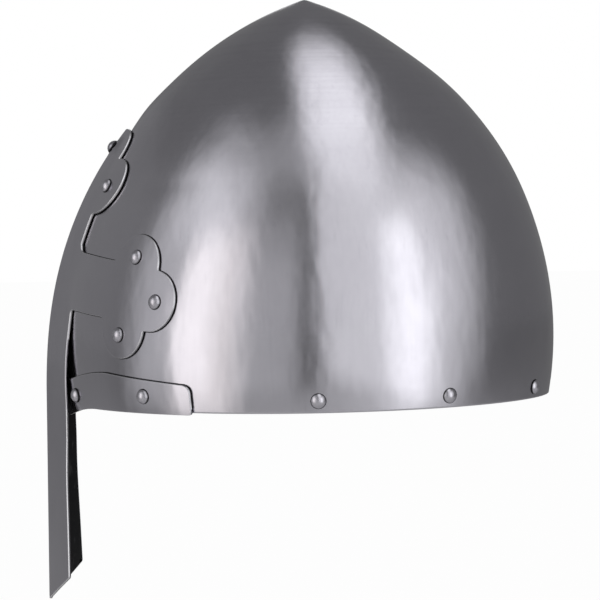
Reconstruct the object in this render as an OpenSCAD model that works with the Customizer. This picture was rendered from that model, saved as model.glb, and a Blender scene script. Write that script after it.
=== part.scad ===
// Conical helmet with a cross-shaped nasal plate, a brow band and a leather liner.
// Front is -Y, the wearer's left is +X, up is +Z. Z = 0 is the level of the skull's rim,
// and the origin is the middle of the opening that the head goes into.

/* [Skull] */
// Greatest outside length, front to back
skull_length = 242; // [200:1:292]
// Greatest outside width, side to side
skull_width = 196; // [162:1:236]
// Height of the point above the rim
skull_height = 198; // [165:1:240]
// Height of the widest level above the rim
widest_height = 31.5; // [20:0.5:45]
// Thickness of the skull's steel
skull_wall = 1.6; // [1:0.1:2.5]
// Plan shape of the front half at the rim: 2 is an ellipse, and a lower value is more pointed
front_roundness = 1.6; // [1.5:0.05:2]
// Plan shape of the front half at the keel's level and above
keel_roundness = 1.2; // [1.15:0.05:1.4]
// Height from which the front half has its full keel
keel_height = 105; // [90:1:130]
// Plan shape of the rear half
rear_roundness = 1.85; // [1.5:0.05:2.2]

/* [Cross nasal] */
// Thickness of the cross nasal's steel
plate_wall = 1.2; // [0.8:0.1:2]
// Depth of the nasal's tip below the rim
nasal_drop = 99.5; // [70:0.5:120]
// Width of the nasal at its foot
foot_width = 51; // [36:0.5:60]
// Height of the foot's two corners above its tip
foot_point = 15.5; // [4:0.5:25]
// Width of the nasal at the brow, where it is narrowest
waist_width = 32; // [24:0.5:44]
// Width of the upright bar above the brow
bar_width = 32.8; // [26:0.2:40]
// How far the ridge stands in front of the skull at the brow
ridge_lift_brow = 13.8; // [11:0.1:18]
// How far the ridge stands in front of the skull at its top end
ridge_lift_top = 3.4; // [2.6:0.1:5]
// How far the nasal leans forward from the brow to its tip
nasal_lean = 1.2; // [0:0.1:10]
// Slope of each flank of the fold at the foot, in degrees
fold_foot = 26.2; // [20:0.2:38]
// Slope of each flank of the fold at the rim, in degrees
fold_rim = 34; // [28:0.2:42]
// Slope of each flank of the fold at the arms, in degrees
fold_arms = 36.6; // [30:0.2:40]
// Slope of each flank of the fold above the arms, in degrees
fold_top = 32.4; // [28:0.2:36]
// Height of the side arms' lower edge where they leave the bar
arm_low = 46.4; // [38:0.2:52]
// Height of the side arms' lower edge where they meet the trefoil
arm_low_end = 43.2; // [36:0.2:50]
// Height of the side arms' upper edge where they leave the bar
arm_high = 74.6; // [66:0.2:82]
// Height of the side arms' upper edge where they meet the trefoil
arm_high_end = 70; // [62:0.2:78]

/* [Trefoils] */
// Plan angle of the side trefoils' middle, from the front
side_trefoil_angle = 45.3; // [40:0.1:52]
// Height of the side trefoils' middle
side_trefoil_height = 53.5; // [46:0.5:60]
// Tilt of the side trefoils, end lobe downwards, in degrees
side_trefoil_tilt = 12; // [0:1:18]
// Radius of the upper and lower lobes of the side trefoils
side_lobe_r = 15.4; // [13:0.1:18]
// Distance of those lobes from the trefoil's middle
side_lobe_offset = 14.1; // [11:0.1:17]
// Radius of the end lobe of the side trefoils
end_lobe_r = 13.7; // [11:0.1:16]
// Distance of the end lobe from the trefoil's middle
end_lobe_offset = 16; // [12:0.1:19]
// Height of the front trefoil's side lobes
front_lobe_height = 106.4; // [98:0.2:114]
// Distance of the front trefoil's side lobes from the middle line
front_lobe_offset = 17.6; // [15:0.2:21]
// Radius of the front trefoil's side lobes
front_lobe_r = 12.6; // [11:0.1:14]
// Height of the front trefoil's top lobe
top_lobe_height = 121.9; // [116:0.1:128]
// Radius of the front trefoil's top lobe
top_lobe_r = 13.5; // [11:0.1:15]

/* [Brow band] */
// Thickness of the brow band's steel
band_wall = 1.5; // [1:0.1:2.5]
// Plan angle of each end of the brow band, from the front
band_end_angle = 62.2; // [56:0.2:70]
// Plan angle of the peak over each eye
band_peak_angle = 36; // [30:1:44]
// Height of the upper edge at the middle
band_top_middle = 9.5; // [6:0.1:14]
// Height of the upper edge at the peaks
band_top_peak = 17; // [14:0.1:24]
// Height of the upper edge at the ends
band_top_end = 12.6; // [10:0.1:20]
// Depth of the lower edge below the rim at the middle
band_dip_middle = 7.2; // [6:0.1:14]
// Depth of the lower edge below the rim elsewhere
band_dip = 1; // [0.4:0.1:3]

/* [Rivets] */
// Radius of a domed rivet head
head_r = 3.6; // [3:0.1:4.5]
// Height of a domed rivet head
head_h = 2; // [1.4:0.1:3]
// Radius of a rivet's shank
shank_r = 2; // [1.5:0.1:2.4]
// Clearance of a rivet's shank in its hole
hole_clearance = 0.1; // [0.05:0.05:0.3]
// Radius of the peened inner end
peen_r = 3; // [2.6:0.1:4]
// Height of the peened inner end
peen_h = 1.2; // [0.8:0.1:2]
// Radius of the washers inside the liner band
washer_r = 4.6; // [4.2:0.1:6]
// Thickness of those washers
washer_h = 0.8; // [0.5:0.1:1.2]
// Distance of the rivets from the middles of the side trefoils' upper and lower lobes, outwards
side_rivet_shift = 4.5; // [0:0.1:6]
// Distance of the rivet from the middle of the side trefoils' end lobe, outwards
end_rivet_shift = 3.5; // [0:0.1:6]
// Distance of the front trefoil's side rivets from the middle line
front_rivet_offset = 17.4; // [14:0.1:20]
// Height of the front trefoil's top rivet
top_rivet_height = 125.8; // [120:0.1:128]
// Plan angle of the brow rivets beside the nasal
brow_rivet_front = 18.8; // [16:0.1:26]
// Height of those rivets
brow_rivet_front_height = 4.5; // [3:0.1:8]
// Plan angle of the brow rivets near the band's ends
brow_rivet_rear = 49.7; // [42:0.1:54]
// Height of those rivets
brow_rivet_rear_height = 7.1; // [5:0.1:9]
// Plan angle of the rim rivets at the sides
rim_rivet_side = 91.2; // [80:0.1:100]
// Plan angle of the rim rivets behind them
rim_rivet_rear = 122; // [110:0.5:132]
// Plan angle of the rim rivets at the back
rim_rivet_back = 153.8; // [142:0.1:164]
// Height of the rim rivets above the rim
rim_rivet_height = 5.6; // [5:0.1:9]

/* [Liner] */
// Thickness of the liner band's leather
liner_wall = 2.5; // [1.5:0.1:4]
// Height of the liner band's lower edge
liner_low = 0.8; // [0.5:0.1:1]
// Height of the liner band's upper edge
liner_high = 29; // [26:0.5:31]
// Thickness of the tongues' leather
tongue_wall = 2.2; // [1.5:0.1:3]
// Height of the tongues' lower edge
tongue_low = 15; // [14:0.5:17]
// Height at which the tongues leave the liner band
tongue_turn = 24; // [22:0.5:26]
// Height of the tongues' crown above the rim
crown_height = 124; // [105:1:140]
// Plan angle of the slits beside the front and rear tongues
slit_front = 29; // [24:0.5:34]
// Plan angle of the slits beside the side tongues
slit_side = 68.6; // [62:0.2:74]
// Plan angle that is left open at each slit
slit_gap = 1.6; // [0.8:0.1:4]
// Radius of the lace hole in each tongue's tip
lace_hole_r = 2.5; // [1.5:0.1:3]

/* [Fits] */
// Gap between the plates and the skull
seat_gap = 0.2; // [0.15:0.05:0.4]
// Gap between the leather and what it lies on
leather_gap = 0.3; // [0.2:0.05:0.5]
// Gap between the middle of a washer and the curved leather
washer_gap = 0.4; // [0.3:0.05:0.6]

/* [Hidden] */

steel = "#85868b";
blackened = "#3a3b3e";
leather = "#6b4a2f";

// The side outline of the skull is an arc of this radius, and its centre lies this far behind the axis
arc_r = (pow(skull_height - widest_height, 2) + pow(skull_length / 2, 2)) / skull_length;
arc_back = arc_r - skull_length / 2;

// Facets of the curved surfaces: how many go round and up each sheet, and the plan angle that the
// plates' facets take
skull_columns = 64;
skull_rows = 22;
plate_step = 3;
fold_rows = 44;
core_rows = 22;
arm_rows = 16;
band_rows = 4;
liner_columns = 60;
liner_rows = 3;
tongue_columns = 8;
tongue_rows = 14;
// Facets of the round cutters and of the turned solids
outline_facets = 64;
head_facets = 48;
shank_facets = 32;
// How far cutters and uncut sheets run on past what they shape
margin = 2;

// Distance from the rim to the ends of the nasal's narrowest stretch
waist_reach = 8;
// Heights between which the fold eases from its slope at the arms to its slope at the top
fold_ease_low = 45;
fold_ease_high = 95;
// Share of the ridge's growth that comes close above the brow, and the power that it grows with
ridge_bulge = 0.19;
ridge_power = 6;
// How far the fold runs on into the arms, and how far below them the bar has its full width
fold_run = 4;
bar_full = 10;
// Distance from the upper and lower side lobes' middles to where the arm joins them, in their radii
arm_join = 0.8;
// Depth of the prism that cuts an arm out of its sheet, and the plan angle where that sheet ends
arm_prism_depth = 60;
arm_sheet_end = 72;
// Plan angle on each side that the core of the seat covers, and how thick that core is
core_angle = 75;
core_depth = 40;
// Plan angle from the middle to where the band's lower edge is level again
band_dip_angle = 30;
// Radius of the band's upper corners, and the plan angle that they take
band_corner_r = 4.5;
corner_angle = 2.6;
// Plan angle of the butt joint in the liner band
liner_joint = 2;
// How far the tongues reach up the dome, in degrees, where their lace holes lie, how much
// narrower their tips are, and where the tips' rounding starts and how strong it is
tongue_reach = 81;
lace_hole_at = 76;
tongue_taper = 0.82;
tip_start = 0.86;
tip_rounding = 0.75;
// Depth of the cutters for the rivet holes
hole_depth = 14;
// Room under a rivet's head, and in all between its head and its peened end
head_seat = 0.08;
rivet_slack = 0.55;
// Depth of the flat that is dressed on the ridge under the top rivet's head, and how far it
// reaches past the head
ridge_flat = 0.4;
flat_margin = 0.3;

// Surfaces are named by how far they lie outside the skull's outer face
skull_inside = -skull_wall;
plate_seat = seat_gap;
plate_face = seat_gap + plate_wall;
band_face = seat_gap + band_wall;
liner_outside = skull_inside - leather_gap;
liner_inside = liner_outside - liner_wall;
tongue_outside = liner_inside - leather_gap;
washer_seat = liner_inside - washer_gap;

// The straight nasal starts at this height, and the ridge's top end is at that one
nasal_start = 8;
ridge_top = top_lobe_height + top_lobe_r;

// ---------------------------------------------------------------- the skull's surface

function mix(a, b, u) = a + (b - a) * u;
function clamp(u) = max(0, min(1, u));
function ease(u) = let (v = clamp(u)) v * v * (3 - 2 * v);

// Half the length of the section at height z, on the surface k outside the skull
function half_length(z, k) = sqrt(max(0, pow(arc_r + k, 2) - pow(z - widest_height, 2))) - arc_back;
function width_ratio(k) = (skull_width / 2 + k) / (skull_length / 2 + k);

function roundness(t, z) =
    cos(t) > 0 ? mix(front_roundness, keel_roundness, clamp(z / keel_height)) : rear_roundness;

// A point at height z of a section of half-length a, at plan angle t, which is 0 at the front and
// 90 on the wearer's left
function oval(t, z, a, ratio) =
    [sign(sin(t)) * pow(abs(sin(t)), 2 / roundness(t, z)) * a * ratio, -a * cos(t), z];

function skin(t, z, k) = oval(t, z, half_length(z, k), width_ratio(k));

// The outward unit normal there, from two short steps along the surface
function skin_normal(t, z, k) =
    let (
        along = skin(t + 1, z, k) - skin(t - 1, z, k),
        up = skin(t, z + 1, k) - skin(t, z - 1, k),
        n = cross(along, up)
    ) n / norm(n);

// ---------------------------------------------------------------- closed sheets

function quad(a, b, c, d) = [[a, b, c], [a, c, d]];

// The faces of a wall whose outer and inner points are columns of rows + 1 points
function wall_faces(columns, rows) =
    let (
        side = rows + 1,
        inner = (columns + 1) * side
    ) concat(
        [for (i = [0:columns - 1], j = [0:rows - 1])
            each quad(i * side + j, i * side + j + 1, (i + 1) * side + j + 1, (i + 1) * side + j)],
        [for (i = [0:columns - 1], j = [0:rows - 1])
            each quad(inner + i * side + j, inner + (i + 1) * side + j,
                inner + (i + 1) * side + j + 1, inner + i * side + j + 1)],
        [for (i = [0:columns - 1])
            each quad(i * side, (i + 1) * side, inner + (i + 1) * side, inner + i * side)],
        [for (i = [0:columns - 1])
            each quad((i + 1) * side + rows, i * side + rows,
                inner + i * side + rows, inner + (i + 1) * side + rows)],
        [for (j = [0:rows - 1])
            each quad(j + 1, j, inner + j, inner + j + 1)],
        [for (j = [0:rows - 1])
            each quad(columns * side + j, columns * side + j + 1,
                inner + columns * side + j + 1, inner + columns * side + j)]
    );

// Reads a value that is the same for every column, or one of a list with a value for each column
function column_value(v, i) = is_list(v) ? v[i] : v;

// A wall along the skin with a column at each plan angle in ts, between the surfaces k_in and k_out,
// and with its edges at the heights low and high
module sheet(ts, k_in, k_out, low, high, rows) {
    points = [for (k = [k_out, k_in], i = [0:len(ts) - 1], j = [0:rows])
        skin(ts[i], mix(column_value(low, i), column_value(high, i), j / rows), k)];
    polyhedron(points, wall_faces(len(ts) - 1, rows));
}

// The rings of the skull's surface k, from the rim up to the ring below the point
function skull_rings(k) =
    let (
        first = asin(-widest_height / (arc_r + k)),
        last = acos(arc_back / (arc_r + k))
    ) [for (j = [0:skull_rows - 1], i = [0:skull_columns - 1])
        let (z = widest_height + (arc_r + k) * sin(mix(first, last, j / skull_rows)))
        skin(360 * i / skull_columns, z, k)];

function skull_point(k) = [0, 0, widest_height + sqrt(pow(arc_r + k, 2) - pow(arc_back, 2))];

module skull_shell() {
    c = skull_columns;
    inner = c * skull_rows;
    tip = 2 * inner;
    top = (skull_rows - 1) * c;
    faces = concat(
        [for (j = [0:skull_rows - 2], i = [0:c - 1]) let (n = (i + 1) % c)
            each quad(j * c + i, (j + 1) * c + i, (j + 1) * c + n, j * c + n)],
        [for (j = [0:skull_rows - 2], i = [0:c - 1]) let (n = (i + 1) % c)
            each quad(inner + j * c + i, inner + j * c + n,
                inner + (j + 1) * c + n, inner + (j + 1) * c + i)],
        [for (i = [0:c - 1]) let (n = (i + 1) % c) each quad(i, n, inner + n, inner + i)],
        [for (i = [0:c - 1]) let (n = (i + 1) % c) [top + i, tip, top + n]],
        [for (i = [0:c - 1]) let (n = (i + 1) % c) [inner + top + n, tip + 1, inner + top + i]]
    );
    polyhedron(
        concat(skull_rings(0), skull_rings(skull_inside), [skull_point(0), skull_point(skull_inside)]),
        faces
    );
}

// ---------------------------------------------------------------- where the rivets sit

// The side trefoils are cut square to the skin at their middle, and laid out from that point
side_middle = skin(side_trefoil_angle, side_trefoil_height, plate_face);
side_normal = skin_normal(side_trefoil_angle, side_trefoil_height, plate_face);
side_turn = atan2(side_normal[0], -side_normal[1]);

// Distance of a point of the plate's face rearwards from the side trefoil's middle
function rearward(t, z) =
    let (p = skin(t, z, plate_face) - side_middle) p[0] * cos(side_turn) + p[1] * sin(side_turn);

// The plan angle at that distance, by repeated straight-line steps
function angle_rearward(h, z, t = side_trefoil_angle, steps = 5) =
    steps == 0 ? t
    : angle_rearward(h, z, t + (h - rearward(t, z)) / (rearward(t + 1, z) - rearward(t, z)), steps - 1);

// The plan angle at a distance x from the middle line, on the surface k
function angle_sideways(x, z, k) =
    asin(pow(x / (half_length(z, k) * width_ratio(k)), roundness(0, z) / 2));

// A point of the tilted side trefoil: u towards its end lobe, v upwards
function tilted(u, v) =
    [u * cos(side_trefoil_tilt) + v * sin(side_trefoil_tilt),
     v * cos(side_trefoil_tilt) - u * sin(side_trefoil_tilt)];

// A rivet's place is the point its head sits on, the outward normal there, and how far inwards
// its peened end is. This is the place on the surface face, with the end inside the surface inner
function skin_place(t, z, face, inner) =
    [skin(t, z, face), skin_normal(t, z, face), face - inner + rivet_slack];

function side_place(u, v) =
    let (q = tilted(u, v), z = side_trefoil_height + q[1])
    skin_place(angle_rearward(q[0], z), z, plate_face, skull_inside);

side_trefoil_rivets = [
    side_place(0, side_lobe_offset + side_rivet_shift),
    side_place(end_lobe_offset + end_rivet_shift, 0),
    side_place(0, -side_lobe_offset - side_rivet_shift)
];

brow_rivets = [
    skin_place(brow_rivet_front, brow_rivet_front_height, band_face, washer_seat - washer_h),
    skin_place(brow_rivet_rear, brow_rivet_rear_height, band_face, washer_seat - washer_h)
];
rim_rivets = [for (t = [rim_rivet_side, rim_rivet_rear, rim_rivet_back])
    skin_place(t, rim_rivet_height, 0, washer_seat - washer_h)];

// ---------------------------------------------------------------- the V fold

// The ridge's distance in front of the skull grows from its top end down to the brow
function ridge_lift(z) =
    let (u = clamp((ridge_top - z) / (ridge_top - nasal_start)))
    mix(ridge_lift_top, ridge_lift_brow, (1 - ridge_bulge) * u + ridge_bulge * pow(u, ridge_power));

// The ridge follows the skull down to the brow, and is straight below it
function ridge_y(z) =
    z >= nasal_start ? -half_length(z, 0) - ridge_lift(z)
    : ridge_y(nasal_start) - nasal_lean * (nasal_start - z) / (nasal_start + nasal_drop);

// Slope of the flanks at height z
function fold(z) =
    z < 0 ? mix(fold_rim, fold_foot, clamp(-z / nasal_drop))
    : z < fold_ease_low ? mix(fold_rim, fold_arms, z / fold_ease_low)
    : mix(fold_arms, fold_top, ease((z - fold_ease_low) / (fold_ease_high - fold_ease_low)));

// A point of the folded face at a distance x from the middle line
function flank(x, z) = [x, ridge_y(z) + abs(x) * tan(fold(z)), z];
function flank_normal(x, z) =
    let (n = cross(flank(x + 1, z) - flank(x - 1, z), flank(x, z + 1) - flank(x, z - 1))) n / norm(n);

// The surface k at a distance x from the middle line, in the front half
function skin_y(x, z, k) = skin(angle_sideways(abs(x), z, k), z, k)[1];

// A rivet's place on the folded face. Its end lies inside the skull at a distance clear from the
// middle line, and its head stands sunk into the face
function flank_place(x, z, clear, sunk) =
    let (n = flank_normal(x, z), depth = skin_y(clear, z, skull_inside) - flank(x, z)[1])
    [flank(x, z) - n * sunk, n, depth * abs(n[1]) - sunk + rivet_slack];

front_trefoil_rivets = [
    flank_place(0, top_rivet_height, peen_r, ridge_flat),
    flank_place(front_rivet_offset, front_lobe_height, front_rivet_offset, 0),
    flank_place(-front_rivet_offset, front_lobe_height, front_rivet_offset, 0)
];

module mirrored() mirror([1, 0, 0]) children();

// ---------------------------------------------------------------- rivets and their holes

// Puts its children at a place, which is a point and the normal there, with their Z axis along it
module at_place(at) {
    n = at[1];
    translate(at[0])
        rotate([0, acos(n[2]), atan2(n[1], n[0])])
            children();
}

// A domed head, a shank and a peened end
module rivet(at) {
    cap_r = (head_r * head_r + head_h * head_h) / (2 * head_h);
    grip = at[2];
    at_place(at)
        translate([0, 0, head_seat]) {
            intersection() {
                translate([0, 0, head_h - cap_r])
                    sphere(r = cap_r, $fn = head_facets);
                cylinder(r = head_r, h = head_h, $fn = head_facets);
            }
            translate([0, 0, -grip])
                cylinder(r = shank_r, h = grip, $fn = shank_facets);
            translate([0, 0, -grip - peen_h])
                cylinder(r = peen_r, h = peen_h, $fn = shank_facets);
        }
}

// A washer lies just above the peened end
module washer(at) {
    at_place(at)
        translate([0, 0, rivet_slack - at[2]])
            difference() {
                cylinder(r = washer_r, h = washer_h, $fn = shank_facets);
                translate([0, 0, -margin])
                    cylinder(r = shank_r + hole_clearance, h = washer_h + 2 * margin, $fn = shank_facets);
            }
}

module rivet_holes(places) {
    for (at = places)
        at_place(at)
            translate([0, 0, -hole_depth])
                cylinder(r = shank_r + hole_clearance, h = hole_depth + margin, $fn = shank_facets);
}

module trefoil_holes() {
    rivet_holes(front_trefoil_rivets);
    rivet_holes(side_trefoil_rivets);
    mirrored() rivet_holes(side_trefoil_rivets);
}

module brow_holes() {
    rivet_holes(brow_rivets);
    mirrored() rivet_holes(brow_rivets);
}

module rim_holes() {
    rivet_holes(rim_rivets);
    mirrored() rivet_holes(rim_rivets);
}

module rivets(places)
    color(steel) for (at = places) rivet(at);

module front_trefoil_rivets() rivets(front_trefoil_rivets);
module left_trefoil_rivets() rivets(side_trefoil_rivets);
module right_trefoil_rivets() mirrored() rivets(side_trefoil_rivets);
module left_brow_rivets() rivets(brow_rivets);
module right_brow_rivets() mirrored() rivets(brow_rivets);
module left_rim_rivets() rivets(rim_rivets);
module right_rim_rivets() mirrored() rivets(rim_rivets);

module left_washers() color(blackened) for (at = concat(brow_rivets, rim_rivets)) washer(at);
module right_washers() mirrored() left_washers();

module skull() {
    color(steel)
        difference() {
            skull_shell();
            trefoil_holes();
            brow_holes();
            rim_holes();
        }
}

// ---------------------------------------------------------------- cross nasal

module front_trefoil_outline() {
    for (side = [-1, 1])
        translate([side * front_lobe_offset, front_lobe_height])
            circle(r = front_lobe_r, $fn = outline_facets);
    translate([0, top_lobe_height])
        circle(r = top_lobe_r, $fn = outline_facets);
    polygon([
        [-front_lobe_offset, front_lobe_height],
        [front_lobe_offset, front_lobe_height],
        [0, top_lobe_height + top_lobe_r / 2]
    ]);
}

// Outline of the upright part with the roots of the arms, seen from the front
module front_outline() {
    half = bar_width / 2;
    right = [
        [foot_width / 2, foot_point - nasal_drop],
        [waist_width / 2, -waist_reach],
        [waist_width / 2, waist_reach],
        [half, arm_low - bar_full],
        [half, arm_low],
        [half + fold_run, arm_low],
        [half + fold_run, arm_high],
        [half, arm_high],
        [half, front_lobe_height]
    ];
    left = [for (i = [len(right) - 1:-1:0]) [-right[i][0], right[i][1]]];
    polygon(concat([[0, -nasal_drop]], right, left));
    front_trefoil_outline();
}

// Outline of an arm and its trefoil, seen square to the trefoil's middle
module side_outline() {
    upper = tilted(0, side_lobe_offset);
    lower = tilted(0, -side_lobe_offset);
    end = tilted(end_lobe_offset, 0);
    bar = rearward(angle_sideways(bar_width / 2, arm_high, plate_face), arm_high);
    inside = bar - bar_width / 2;
    low = arm_low - side_trefoil_height;
    low_end = arm_low_end - side_trefoil_height;
    high = arm_high - side_trefoil_height;
    high_end = arm_high_end - side_trefoil_height;
    for (lobe = [[upper, side_lobe_r], [lower, side_lobe_r], [end, end_lobe_r]])
        translate(lobe[0])
            circle(r = lobe[1], $fn = outline_facets);
    join = arm_join * side_lobe_r;
    polygon([
        [inside, low], [inside, high], [bar, high], [upper[0] - join, high_end],
        upper, end, lower, [lower[0] - join, low_end], [bar, low]
    ]);
}

// A long V-folded strip, wider than the plate, before its outline is cut
module folded_strip() {
    low = -nasal_drop - margin;
    high = ridge_top + margin;
    reach = front_lobe_offset + front_lobe_r + margin;
    points = [for (back = [0, plate_wall], x = [-reach, 0, reach], j = [0:fold_rows])
        let (z = mix(low, high, j / fold_rows)) flank(x, z) + [0, back / cos(fold(z)), 0]];
    polyhedron(points, wall_faces(2, fold_rows));
}

// All that lies inside the plate's seat, from the nasal's start upwards
module core() {
    ts = [for (t = [-core_angle:plate_step:core_angle]) t];
    sheet(ts, plate_seat - core_depth, plate_seat, nasal_start, ridge_top + margin, core_rows);
}

module front_prism() {
    rotate([90, 0, 0])
        linear_extrude(height = skull_length)
            front_outline();
}

// The arm's prism starts just inside the bar's edge, where the fold and the arm meet
module arm_prism() {
    root = bar_width / 2 - 1;
    intersection() {
        translate(side_middle)
            rotate([90, 0, side_turn])
                translate([0, 0, -arm_prism_depth / 2])
                    linear_extrude(height = arm_prism_depth)
                        side_outline();
        translate([root, -skull_length, 0])
            cube([skull_width, skull_length, skull_height]);
    }
}

// The arm's sheet lies along the skull, and covers the trefoil's height with some to spare
module left_arm() {
    from = angle_sideways(bar_width / 2 - margin, arm_high, plate_face);
    count = round((arm_sheet_end - from) / plate_step);
    ts = [for (i = [0:count]) mix(from, arm_sheet_end, i / count)];
    low = side_trefoil_height - side_lobe_offset - side_lobe_r - margin;
    high = side_trefoil_height + side_lobe_offset + side_lobe_r + margin;
    intersection() {
        sheet(ts, plate_seat, plate_face, low, high, arm_rows);
        arm_prism();
    }
}

// Above the top rivet's place a flat is dressed on the ridge
module cross_nasal() {
    color(steel)
        difference() {
            union() {
                left_arm();
                mirrored() left_arm();
                difference() {
                    intersection() {
                        folded_strip();
                        front_prism();
                    }
                    core();
                }
            }
            trefoil_holes();
            at_place(front_trefoil_rivets[0])
                cylinder(r = head_r + flat_margin, h = head_h + margin, $fn = head_facets);
        }
}

// ---------------------------------------------------------------- brow band

// The band's edges are highest over the eyes and dip to the root of the nose
function band_high(t) =
    abs(t) < band_peak_angle ? mix(band_top_middle, band_top_peak, ease(abs(t) / band_peak_angle))
    : mix(band_top_peak, band_top_end, (abs(t) - band_peak_angle) / (band_end_angle - band_peak_angle));
function band_low(t) = mix(-band_dip_middle, -band_dip, ease(abs(t) / band_dip_angle));

// Width of the band's end that lies beyond plan angle t, in millimetres
function band_left(t) =
    norm(skin(band_end_angle, 0, band_face) - skin(abs(t), 0, band_face));

// How far the upper edge drops there, so that the corner is a quarter of a circle
function corner_drop(t) =
    let (
        r = band_corner_r,
        s = min(band_left(t), r)
    ) r - sqrt(r * r - pow(r - s, 2));

module brow_band() {
    ends = [for (u = [0:0.25:1]) band_end_angle - corner_angle * pow(1 - u, 2)];
    middle = band_end_angle - corner_angle;
    count = round(2 * middle / plate_step);
    ts = concat(
        [for (i = [len(ends) - 1:-1:1]) -ends[i]],
        [for (i = [0:count]) mix(-middle, middle, i / count)],
        [for (i = [1:len(ends) - 1]) ends[i]]
    );
    color(steel)
        difference() {
            sheet(ts, plate_seat, band_face, [for (t = ts) band_low(t)],
                [for (t = ts) band_high(t) - corner_drop(t)], band_rows);
            brow_holes();
        }
}

// ---------------------------------------------------------------- leather liner

module liner_band() {
    end = 180 - liner_joint / 2;
    ts = [for (i = [0:liner_columns]) mix(-end, end, i / liner_columns)];
    color(leather)
        difference() {
            sheet(ts, liner_inside, liner_outside, liner_low, liner_high, liner_rows);
            brow_holes();
            rim_holes();
        }
}

// The dome that the tongues form rises from the band's inner side to the crown. Its surface lies
// inset inside the tongues' outer side, and u runs from 0 at the turn to 90 degrees at the crown
function dome(t, u, inset) =
    let (
        a = (half_length(tongue_turn, tongue_outside) - inset) * cos(u),
        z = tongue_turn + (crown_height - tongue_turn - inset) * sin(u)
    ) oval(t, z, a, width_ratio(tongue_outside - inset));

// The plan angle that a tongue covers narrows towards its round tip
function tongue_share(v) =
    let (u = max(0, (v - tip_start) / (1 - tip_start)))
    mix(1, tongue_taper, v) * sqrt(1 - tip_rounding * u * u);

// Two rows of the tongue lie below the turn, along the liner band, and the others on the dome
function tongue_point(t, j, inset) =
    j < 0 ? skin(t, mix(tongue_turn, tongue_low, -j / 2), tongue_outside - inset)
    : dome(t, tongue_reach * j / tongue_rows, inset);

module tongue(t0, t1) {
    columns = tongue_columns;
    rows = tongue_rows;
    middle = (t0 + t1) / 2;
    half = (t1 - t0 - slit_gap) / 2;
    points = [for (inset = [0, tongue_wall], i = [0:columns], j = [-2:rows])
        let (t = middle + half * tongue_share(max(0, j / rows)) * (2 * i / columns - 1))
        tongue_point(t, j, inset)];
    along = dome(middle + 1, lace_hole_at, 0) - dome(middle - 1, lace_hole_at, 0);
    up = dome(middle, lace_hole_at + 1, 0) - dome(middle, lace_hole_at - 1, 0);
    n = cross(along, up);
    hole = dome(middle, lace_hole_at, tongue_wall / 2);
    color(leather)
        difference() {
            polyhedron(points, wall_faces(columns, rows + 2));
            at_place([hole, n / norm(n)])
                translate([0, 0, -tongue_wall])
                    cylinder(r = lace_hole_r, h = 2 * tongue_wall, $fn = shank_facets);
        }
}

module front_tongue() tongue(-slit_front, slit_front);
module front_left_tongue() tongue(slit_front, slit_side);
module left_tongue() tongue(slit_side, 180 - slit_side);
module rear_left_tongue() tongue(180 - slit_side, 180 - slit_front);
module rear_tongue() tongue(180 - slit_front, 180 + slit_front);
module rear_right_tongue() mirrored() rear_left_tongue();
module right_tongue() mirrored() left_tongue();
module front_right_tongue() mirrored() front_left_tongue();

// ---------------------------------------------------------------- nodes

skull();
cross_nasal();
brow_band();
front_trefoil_rivets();
left_trefoil_rivets();
right_trefoil_rivets();
left_brow_rivets();
right_brow_rivets();
left_rim_rivets();
right_rim_rivets();
left_washers();
right_washers();
liner_band();
front_tongue();
front_left_tongue();
left_tongue();
rear_left_tongue();
rear_tongue();
rear_right_tongue();
right_tongue();
front_right_tongue();
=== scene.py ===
"""Conical helmet with a cross-shaped nasal plate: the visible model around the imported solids.

The pieces' lengths are millimetres and all angles are degrees, as on a drawing. A mesh is
written in metres, and the studio is laid out in metres. Front is -Y, the wearer's left is +X,
up is +Z, and z = 0 is the skull's rim.
"""

import logging
import math
from collections.abc import Callable, Sequence
from dataclasses import dataclass
from enum import Enum

import bpy
import numpy as np
from mathutils import Matrix, Vector
from mathutils.geometry import delaunay_2d_cdt


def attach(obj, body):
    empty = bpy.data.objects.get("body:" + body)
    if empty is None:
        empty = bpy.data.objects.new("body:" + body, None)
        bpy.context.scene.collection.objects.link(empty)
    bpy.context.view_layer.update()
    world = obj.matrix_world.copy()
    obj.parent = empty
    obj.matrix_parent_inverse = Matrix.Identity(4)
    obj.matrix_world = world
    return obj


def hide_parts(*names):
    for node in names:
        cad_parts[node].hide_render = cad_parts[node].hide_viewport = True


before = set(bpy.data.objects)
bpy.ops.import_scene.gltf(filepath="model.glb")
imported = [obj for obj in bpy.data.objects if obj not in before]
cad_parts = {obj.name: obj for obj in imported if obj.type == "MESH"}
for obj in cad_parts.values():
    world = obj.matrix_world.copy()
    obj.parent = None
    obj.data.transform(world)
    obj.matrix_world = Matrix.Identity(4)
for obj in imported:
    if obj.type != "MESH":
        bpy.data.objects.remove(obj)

LOG = logging.getLogger("helmet")
MM = 0.001
ROOT = "root"
TINY = 1e-12  # stands in for a zero that something is divided by
CORNER_STEP = 0.35  # spacing of the points round a corner
DOUBLED = 0.05  # points nearer to each other than this are one
SAME_POINT = 1e-7  # the same for the triangles' fill
BATCH = 2000  # points compared with the rim at a time
ROOT_STEP = 0.1  # the least way from the bar along an arm's lower edge
NEAR_MIDDLE = 5.0  # the least x that a side trefoil's points are sought at
NEAR_SIDE = 0.99  # the greatest one, as a share of half the width
HALVINGS = 40  # how often the range between them is halved
TONGUE_STEP = 2.0  # spacing of the points round a tongue
BAND_STEP = 2.5  # the same round the liner band
STRETCH_STEP = 0.1  # half step from which a sheet's stretch is worked out
Array = np.ndarray
Pair = tuple[float, float]
Triple = tuple[float, float, float]
Quad = tuple[float, float, float, float]
Surface = Callable[[Array], Array]


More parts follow.
